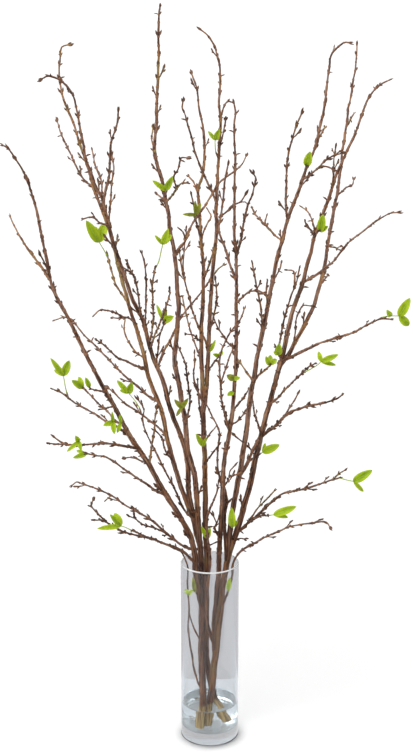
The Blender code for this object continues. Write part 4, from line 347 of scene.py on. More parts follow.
# %% Routes of the stems and sprigs
# Each row is a shoot or twig: its name, what it forks from, its route, and the radii in
# millimetres at its start and tip. A route point is (across, up) or (across, up, depth) in
# centimetres. Depth runs away from the viewer, and points without one lie evenly between.
LEFT_BRANCH = [
    ("trunk", None, [(-1.5, 1.2, -1.8), (-1.2, 6, -1.4), (-1.3, 10, -1), (-1.4, 15, -0.4),
     (-1.4, 20, 0.1), (-1.4, 25, 0.5), (-1.4, 29, 0.8), (-1.5, 32.5, 0.9), (-1.7, 35.5, 0.9),
     (-2.1, 37.8, 0.8)], 6.3, 5.0),
    ("far_left", "trunk", [(-1.5, 24), (-2, 27.5, -0.6), (-2.4, 30.5, -1.2), (-2.6, 33.5, -1.6),
     (-3.3, 37), (-4.6, 39.7), (-6.3, 42.7), (-7.9, 45.4), (-9.1, 47.6), (-10.3, 50),
     (-11.5, 51.9), (-12.9, 54), (-14.2, 56.4), (-15.3, 58.9), (-17.2, 62.5), (-19.1, 66.2),
     (-21.1, 70.5), (-22.6, 73.8), (-23.9, 76.5), (-25.4, 79.8), (-26, 82), (-26.4, 84.4),
     (-27.2, 89), (-27.7, 92), (-28.6, 95.7), (-29.6, 98.7), (-30.7, 100.7), (-32, 102.6),
     (-32.8, 103.1, -16)], 5.1, 1.2),
    ("far_left_fork", "far_left", [(-25.9, 81.3), (-27.2, 83.4), (-28.7, 85.5), (-30, 87.5),
     (-31.1, 89.4), (-31.9, 90.7), (-32.3, 91.6, -6)], 2.15, 1.2),
    ("far_left_small", "far_left", [(-26, 81.8), (-26.6, 83.8), (-27.3, 85.3, -14)], 1.55, 1.2),
    ("low_left_shoot", "far_left", [(-7.2, 44.4), (-9.1, 45.3), (-11, 46.6), (-13, 48),
     (-14.3, 49), (-16, 50.3), (-17.6, 51.3), (-19, 51.5), (-20.4, 51.8, -14)], 2.05, 1.3),
    ("curled_left", "far_left", [(-10.4, 50.3), (-11.4, 50.5), (-12.4, 51), (-13.3, 51.2),
     (-14.1, 51.1, -1)], 1.55, 1.2),
    ("level_left", "far_left", [(-11.8, 52.6), (-13.2, 53), (-15, 53.3), (-17.5, 53.6),
     (-20, 53.5), (-22.3, 53.4), (-24.2, 53.5), (-26.7, 53.6, -20)], 2.25, 1.2),
    ("level_left_tip", "level_left", [(-24, 53.5), (-25, 53.9), (-25.9, 54.6, -18)], 1.45, 1.2),
    ("leafy_left", "far_left", [(-13.1, 54.4), (-14.4, 55.7), (-16, 56.9), (-17.5, 57.6),
     (-19.2, 58.8), (-21, 59.8), (-22.3, 60.6), (-23.7, 61.7), (-24.7, 62.5), (-25.8, 63, -3)],
     2.05, 1.2),
    ("leafy_left_spur", "leafy_left", [(-23.6, 61.6), (-23.8, 62.6, -4.5)], 1.25, 1.25),
    ("round_leaf_twig", "far_left", [(-14.4, 56.7), (-15.7, 57.6), (-17.1, 59.2), (-18.6, 60.7),
     (-19.9, 62.1), (-20.9, 63.1, 4)], 1.75, 1.3),
    ("side_leaf_twig", "far_left", [(-17.2, 62.5), (-18.5, 62.8), (-19.7, 63.1, -13)], 1.45, 1.3),
    ("short_left", "far_left", [(-16, 60.2), (-17.2, 59.8), (-18.3, 59.6, -12)], 1.45, 1.2),
    ("tall_left", "trunk", [(-1.9, 35), (-2.4, 38), (-3, 40.8), (-3.9, 43), (-4.7, 45.4),
     (-5.5, 48.2), (-6.1, 50.3), (-6.7, 52.8), (-7.3, 55.3), (-7.7, 58), (-8.5, 60.8), (-9.4, 63),
     (-10.2, 65.5), (-10.7, 68), (-11.3, 70.7), (-12.2, 73.8), (-13, 76.4), (-13.9, 80),
     (-14.9, 84), (-15.9, 88.5), (-17, 92), (-18.3, 95.5), (-19, 97.9), (-19.7, 100.6),
     (-20.6, 103.3), (-21.6, 106.7), (-22.8, 109.8), (-23.4, 112), (-23.6, 114.8), (-23.4, 117),
     (-23.1, 118.3), (-22.2, 118.6, 14)], 4.3, 1.2),
    ("tall_left_side", "tall_left", [(-18.7, 96.5), (-20, 97.7), (-21.2, 99.6), (-22, 101.5),
     (-23, 103.6), (-23.6, 105), (-24.1, 106.8, 20)], 1.85, 1.2),
    ("long_cross", "tall_left", [(-8.6, 61), (-10.4, 62), (-12.1, 63.7), (-13.5, 64.8),
     (-15, 66.3), (-16.5, 68), (-17.8, 69.4), (-19.3, 71), (-20.5, 72.1), (-21.6, 73.6),
     (-22.7, 75), (-24, 75.3), (-25.2, 74.9, 12)], 2.15, 1.2),
    ("cross_upper", "tall_left", [(-10.3, 66.4), (-12, 67), (-13.7, 67.8), (-15, 68.3),
     (-16, 69.2), (-17.2, 70.4), (-18.5, 71.4, -4)], 2.05, 1.2),
    ("inner_curve", "tall_left", [(-10.7, 68.5), (-11.9, 69.1), (-12.9, 70.3), (-13.7, 71.8),
     (-14.1, 73.4), (-13.9, 74.9, 14)], 1.65, 1.2),
    ("left_arch", "tall_left", [(-12.3, 74.4), (-13.2, 75.1), (-14.4, 75.4), (-15.5, 76.1),
     (-16.8, 76.4), (-18.1, 76.4), (-18.8, 75.8, -1)], 1.75, 1.2),
    ("left_arch_low", "left_arch", [(-13.7, 75.3), (-14.8, 75.1), (-15.8, 75.2, 8)], 1.45, 1.2),
    ("long_stalk", "tall_left", [(-13.2, 77.6), (-14.4, 79.2), (-15.4, 81), (-16, 83),
     (-16.5, 85.1, 12)], 1.65, 1.3),
    ("thin_up_left", "tall_left", [(-2.9, 40.2), (-3.9, 41.2), (-4.7, 42.5), (-5.3, 43.9),
     (-6, 45.6), (-6.7, 47.1), (-7.4, 48.5), (-8.2, 50.2), (-8.9, 51.8), (-9.6, 53.3),
     (-10.3, 54.8), (-11, 56.6), (-11.2, 58.2), (-11, 59.6), (-11.8, 61.1, 8)], 1.95, 1.2),
    ("up_twig", "far_left", [(-10.1, 49.9), (-9.9, 52), (-9.6, 54), (-9.3, 56), (-9.1, 58),
     (-8.9, 59.6, -8)], 1.75, 1.2),
    ("inner_twig", "tall_left", [(-6.3, 50.6), (-7.2, 51.8), (-7.7, 53.1), (-7.9, 54.3),
     (-8.5, 55.2), (-9.1, 55.8, -1)], 1.55, 1.2),
    ("left_reach", "tall_left", [(-7.2, 55), (-8.3, 56.1), (-9.4, 57.1), (-10.6, 58.1),
     (-12, 59.2), (-13.1, 59.9), (-14.2, 60.7), (-15, 61.5), (-15.8, 62.4), (-16.7, 63.1, 10)],
     1.85, 1.2),
    ("left_reach_spur", "left_reach", [(-11.4, 58.8), (-11.7, 59.8, 4)], 1.25, 1.25),
    ("low_left_long", "trunk", [(-1.8, 34.6), (-3.6, 34.8, 1), (-5.1, 35.6), (-6.6, 36.8),
     (-7.9, 38), (-9.2, 39.3), (-10.7, 40.5), (-12.4, 41.5), (-13.8, 42.3), (-15.1, 43.2),
     (-16.4, 44.2), (-18.1, 45.1), (-20, 46), (-21.8, 46.5), (-22.5, 46.8), (-23.2, 46.3, 8)],
     2.45, 1.2),
    ("low_left_knob", "low_left_long", [(-16.7, 44.4), (-17.5, 43.7, 5)], 1.55, 1.3),
    ("low_left_under", "trunk", [(-1.5, 30.8), (-2.4, 32, -1.6), (-3.6, 33.2, -2.6), (-4.7, 34.3),
     (-6.5, 35.1), (-8.5, 36), (-10.2, 36.7), (-12, 37), (-13.7, 37.5), (-15.2, 38), (-16.2, 38.6),
     (-17.3, 39.3), (-18.4, 40.4), (-19.8, 42), (-20.2, 42.6), (-19.9, 43.4, -14)], 2.55, 1.2),
    ("low_left_fork", "low_left_under", [(-17.2, 39.4), (-18.3, 39.9), (-19.5, 39.9, -15)], 1.45,
     1.2),
    ("low_left_small", "low_left_long", [(-7.2, 37.6), (-8.5, 38.1), (-9.7, 38.6), (-11, 39),
     (-12.1, 39.6), (-12.8, 40.5), (-13.1, 41.9, -4)], 1.55, 1.2),
    ("low_left_leafy", "low_left_under", [(-10.2, 36.7), (-11.3, 37.1), (-12.2, 37.6),
     (-13.1, 38, -12)], 1.55, 1.3),
    ("glass_twig", "trunk", [(-1.3, 8), (-2.1, 9.8, -1.4), (-2.7, 12.3, -1.2), (-3, 14.5, -1),
     (-3.4, 17, -0.9), (-3.7, 20, -0.8), (-3.6, 22.5, -0.8), (-3.6, 25, -0.8), (-3.8, 28, -0.8),
     (-3.7, 30, -0.8), (-3.8, 31.6, -1), (-4.4, 33.2, -1.4), (-5, 34.2, -1.8), (-5.9, 34.8, -2.6)],
     1.75, 1.2),
    ("glass_twig_leg", "trunk", [(-1.5, 17.2), (-2.4, 19.2, -0.6), (-3, 20.9, -0.8),
     (-3.6, 22.9, -0.8)], 1.55, 1.3),
    ("tall_mid", "trunk", [(-1.95, 36), (-2.5, 39), (-3, 41.6), (-3.4, 44), (-3.7, 47), (-3.7, 50),
     (-4.2, 52.8), (-5, 55.2), (-6, 57.9), (-6.9, 60.8), (-7.6, 63.8), (-8.6, 66.6), (-9.6, 69.3),
     (-10.3, 72), (-11.1, 75), (-12.5, 77.9), (-13.6, 81.2), (-14.6, 84.4), (-15.7, 87.9),
     (-16.4, 91), (-17.2, 94.4), (-18.2, 96.5), (-19, 98.9), (-19.8, 101.3), (-20.1, 103.5),
     (-20.6, 106.3), (-21, 108.5), (-21.3, 110.4), (-21.9, 111.7), (-23.4, 113.2), (-25.2, 113.9),
     (-26.2, 113.5, -5)], 4.6, 1.2),
    ("tall_mid_fork", "tall_mid", [(-17, 94.2), (-16.6, 96.3), (-16.1, 98.5), (-15.9, 101),
     (-15.7, 103.5), (-15, 105.4), (-14.6, 107), (-14.5, 108.3, -11)], 2.15, 1.3),
    ("tall_mid_short", "tall_mid", [(-16.2, 90.8), (-16, 93.5), (-15.8, 96), (-15.5, 98.2),
     (-15.3, 99.6), (-15.6, 101.6, 3)], 1.75, 1.2),
    ("tall_mid_thin", "tall_mid", [(-17.1, 94.8), (-17.3, 97.3), (-17.8, 98.8), (-18.3, 100.3),
     (-18.7, 102.3, 6)], 1.55, 1.2),
    ("left_hook", "tall_mid", [(-16.2, 90.4), (-17.7, 90.8), (-18.4, 91.5), (-19.2, 91.8),
     (-20.2, 91.5, -8)], 1.55, 1.2),
    ("inner_one", "tall_mid", [(-11.1, 75), (-11.5, 77.2), (-11.7, 79.3), (-12, 81), (-12.7, 82.7),
     (-13.4, 84.4, -13)], 1.55, 1.2),
    ("inner_one_fork", "inner_one", [(-12.5, 82.4), (-13.4, 83.1), (-14.2, 83.6, -13)], 1.45, 1.2),
    ("inner_two", "tall_mid", [(-10.7, 73.6), (-10.5, 76), (-10.4, 79), (-10.4, 82), (-10.6, 84.3),
     (-11, 85.8, -9)], 1.55, 1.2),
    ("inner_three", "tall_mid", [(-9.9, 70.9), (-9.5, 73), (-9.3, 75), (-9.3, 77.5), (-9.4, 80),
     (-9.1, 82.3), (-8.9, 83.3, -18)], 1.65, 1.3),
    ("inner_four", "tall_mid", [(-9.7, 70), (-9.1, 72.2), (-8.3, 74), (-7.7, 75.6), (-7.1, 77.3),
     (-6.6, 78.8), (-6.6, 79.8, -19)], 1.65, 1.2),
    ("leaf_stalk_mid", "tall_mid", [(-8.8, 67.3), (-8.5, 70), (-8.2, 72.3), (-7.6, 74, -4)], 1.55,
     1.3),
    ("diagonal_right", "tall_mid", [(-8.6, 66.8), (-7.9, 68.8), (-7.2, 70.3), (-6.4, 71.8),
     (-5.7, 73.2), (-5, 74.8), (-4.1, 76.2), (-2.9, 77.6), (-2, 78.7), (-1.1, 79.8),
     (-0.2, 81.1, 15)], 2.15, 1.2),
    ("tallest", "trunk", [(-1.65, 34), (-1.8, 38), (-2.1, 41), (-2.3, 45), (-2.6, 48),
     (-3.2, 50.5), (-3.8, 52.7), (-4, 55.5), (-4.2, 58), (-4.7, 61), (-5.1, 64), (-5.6, 66.5),
     (-5.8, 68.6), (-5.6, 71), (-5.3, 74), (-5.1, 77), (-5.3, 80), (-5.5, 83.5), (-5.9, 87),
     (-6.5, 90), (-6.7, 92.3), (-7.1, 94.6), (-7.6, 97.2), (-8.3, 99.8), (-8.8, 102.2),
     (-8.7, 104.3), (-8.4, 107), (-8.4, 110), (-8.2, 113.5), (-8, 117.5), (-8, 121),
     (-7.8, 125, -14)], 4.8, 1.4),
    ("tallest_right", "tallest", [(-6.8, 94.2), (-5.9, 95.5), (-5.3, 96.4), (-4.6, 97.1),
     (-3.7, 97.2, -17)], 1.55, 1.2),
    ("tallest_up", "tallest_right", [(-5.5, 96.4), (-5.8, 98.2), (-5.1, 99.4), (-4.8, 100.6),
     (-4.6, 101.2), (-3.8, 101.2, -20)], 1.45, 1.2),
    ("tallest_left", "tallest", [(-6.9, 94), (-7.7, 94.8), (-8.4, 95.4, -6)], 1.45, 1.2),
    ("tallest_stub", "tallest", [(-8.8, 102.6), (-9.2, 104), (-9.1, 105.2), (-9, 105.9, -7)], 1.45,
     1.2),
    ("tallest_spur", "tallest", [(-6.95, 95.3), (-7.1, 95.9, -12.2)], 1.25, 1.25),
    ("olive_spur", "tallest", [(-4.4, 59.3), (-4.6, 59.7, -5.3)], 1.25, 1.25),
    ("long_diagonal", "tallest", [(-5.7, 85.6), (-4.9, 86.7), (-4, 87.8), (-3.4, 89.3),
     (-2.7, 90.9), (-1.9, 92.1), (-0.9, 93.4), (-0.1, 94.7), (0.7, 96), (1.6, 97.3), (3, 98.4),
     (4.3, 99.4), (5.2, 100.3), (5.7, 101.4, -6)], 2.15, 1.2),
    ("diagonal_spur", "long_diagonal", [(-3.8, 88.2), (-4.4, 89.3), (-5.2, 90.1, -12)], 1.25,
     1.25),
    ("diagonal_leaf_spur", "long_diagonal", [(-2.4, 91.3), (-2.3, 91.9, -9.8)], 1.25, 1.25),
    ("tallest_low", "tallest", [(-4.1, 57.2), (-3.6, 59), (-3.3, 61), (-3.5, 63.5), (-3.9, 66),
     (-4.1, 67.5), (-4.6, 68.9), (-5.2, 70.5, -13)], 1.65, 1.2),
    ("strip_leaf_spur", "far_left", [(-14.3, 56.8), (-14.8, 57.1, -9)], 1.25, 1.25),
    ("curl_leaf_spur", "leafy_left", [(-15.9, 56.8), (-16.1, 57.2, -7.5)], 1.25, 1.25),
    ("level_leaf_spur", "level_left", [(-21.9, 53.4), (-22, 53.8, -17.5)], 1.25, 1.25),
    ("glass_leaf_spur", "glass_twig", [(-3.65, 25.8), (-3.6, 26.2, -1.6)], 1.25, 1.25),
    ("glass_long_spur", "far_left", [(-1.8, 26), (-2.4, 26.6, -1.3)], 1.25, 1.25),
]

CENTRE_BRANCH = [
    ("trunk", None, [(2, 2.65, 0.8), (1, 6, 1.2), (0.3, 8.8, 1.5), (-0.2, 11.5, 1.6),
     (-0.6, 14.5, 1.7), (-0.7, 18, 1.9), (-0.6, 22, 2.1), (-0.6, 26, 2.4), (-0.5, 30, 2.5),
     (-0.5, 33.5, 2.6), (-0.7, 37, 2.7), (-0.8, 42, 2.9), (-0.8, 47, 3.2), (-0.9, 52), (-1.1, 57),
     (-1.1, 61), (-1.3, 65), (-1.4, 69), (-1.4, 73), (-1.2, 76.5), (-1.1, 80), (-1.1, 84),
     (-1.4, 87.5), (-1.6, 91.5), (-1.8, 94), (-1.9, 96.3), (-1.3, 98.2), (-1, 99.8), (-0.9, 102),
     (-1, 104.5), (-1.2, 106.5), (-1.7, 108.7), (-1.9, 110.7), (-2.1, 112.3), (-2.8, 114.1, 16)],
     5.9, 1.3),
    ("tall_centre", "trunk", [(-1.05, 59), (-0.7, 62), (-0.5, 65), (-0.3, 69), (-0.1, 73), (0, 76),
     (0.2, 80), (0.4, 83), (0.8, 86.5), (1.1, 89.5), (1, 92.5), (1.1, 95.5), (1.2, 98.5),
     (1.4, 101.5), (1.5, 104.5), (1.7, 107), (1.4, 109.5), (1.5, 111.5), (1.6, 113.5),
     (1.5, 115.3), (1.1, 116.8), (0.8, 118.2), (0.3, 119.2), (-0.5, 120.2), (-1.3, 120.8, 5)], 3.9,
     1.2),
    ("slant_centre", "tall_centre", [(1, 94), (0.4, 95.7), (-0.4, 97.3), (-1.3, 99.2),
     (-1.9, 100.8), (-2.4, 102.2), (-3, 104.6), (-3.5, 106.4), (-3.9, 107.8), (-4.4, 109),
     (-4.3, 109.9, -3)], 1.95, 1.2),
    ("centre_left_tip", "trunk", [(-1.4, 88.5), (-2.1, 90.6), (-2.4, 92.2), (-2.6, 93.8),
     (-2.9, 95.2, 5)], 1.65, 1.2),
    ("centre_small", "trunk", [(-1.85, 95.4), (-2.4, 96.9), (-2.7, 97.5), (-3.3, 98.2, 18)], 1.45,
     1.2),
    ("centre_cross", "trunk", [(-1, 81.5), (-0.4, 83.3), (0.1, 84.9), (0.8, 86.8, 5)], 1.85, 1.4),
    ("curl_low", "tall_centre", [(1.4, 102.2), (1.8, 104), (2.1, 105.3), (2.4, 107, -1)], 1.45,
     1.2),
    ("curl_high", "tall_centre", [(1.6, 107.2), (1.9, 108.3), (2.3, 109.5), (2.8, 110),
     (3.4, 109.9, 11)], 1.45, 1.2),
    ("high_leaf_spur", "tall_centre", [(1.3, 101), (0.9, 102.1, 3.5)], 1.25, 1.25),
    ("bent_twig", "trunk", [(-1.3, 87.9), (-1, 89.5), (-0.4, 90.8), (0.2, 91.8), (-0.3, 92.8, 14)],
     1.55, 1.2),
    ("right_twig", "tall_centre", [(-0.1, 72.6), (0.4, 74.5), (0.8, 76.3), (1.1, 78), (1.1, 79.7),
     (0.9, 81.4, -2)], 1.65, 1.2),
    ("right_upper", "tall_centre", [(0.4, 81.8), (0.9, 82.7), (1.5, 83.5), (2.1, 83.9, 9)], 1.45,
     1.2),
    ("left_climb", "tall_centre", [(-0.3, 68.8), (-0.7, 71), (-1.5, 72.8), (-2.3, 74.6),
     (-2.9, 76.5), (-3.4, 78.6), (-3.9, 80.6), (-4.4, 82.6), (-4.7, 84.3), (-4.9, 85.8, 4)], 1.95,
     1.2),
    ("left_climb_twin", "left_climb", [(-4.1, 81.8), (-4.4, 84), (-4.2, 86), (-4.1, 87.8, 7)],
     1.45, 1.2),
    ("left_knotty", "trunk", [(-1.15, 60.5), (-1.9, 62.5), (-2.5, 64.2), (-2.7, 65.7),
     (-2.5, 67.4), (-2.5, 69, 7)], 1.75, 1.2),
    ("left_wavy", "trunk", [(-1.35, 68.4), (-2, 69.6), (-2.5, 70.8), (-3, 72.4), (-3.5, 74),
     (-3.8, 75.6), (-4.2, 77.3), (-4.4, 78.4, 15)], 1.65, 1.2),
    ("left_stub", "trunk", [(-1.4, 71.2), (-2.1, 71.7), (-2.8, 72.3), (-3.8, 72.5, 3)], 1.45, 1.2),
    ("low_right", "trunk", [(-0.9, 50.2), (-0.1, 51.2), (0.7, 52.3), (1.5, 53.3, 1)], 1.65, 1.2),
    ("low_leaf_twig", "trunk", [(-1, 53), (-0.6, 54.2), (0, 55.3), (0.9, 56.4, 7)], 1.45, 1.2),
    ("low_dark", "trunk", [(-1.05, 56.8), (-1.5, 58.5), (-1.8, 60.5), (-1.9, 62.5), (-2, 64.5, 0)],
     1.55, 1.2),
    ("leaf_twig", "tall_centre", [(-0.4, 66.2), (0.3, 67.1), (0.9, 68), (1.3, 68.5, 2)], 1.65,
     1.3),
    ("slender_spur", "tall_centre", [(-0.3, 68.8), (0.05, 69.4, 3)], 1.25, 1.25),
    ("mid_leaf_spur", "trunk", [(-0.95, 52.6), (-1.1, 53.1, 2.2)], 1.25, 1.25),
    ("rim_leaf_spur", "trunk", [(-0.6, 35.6), (-0.45, 36.4, 1.4)], 1.25, 1.25),
    ("rim_stub", "trunk", [(-0.6, 34.8), (-0.1, 35.3, 3.4), (0.7, 35.7, 3.9)], 1.45, 1.2),
]

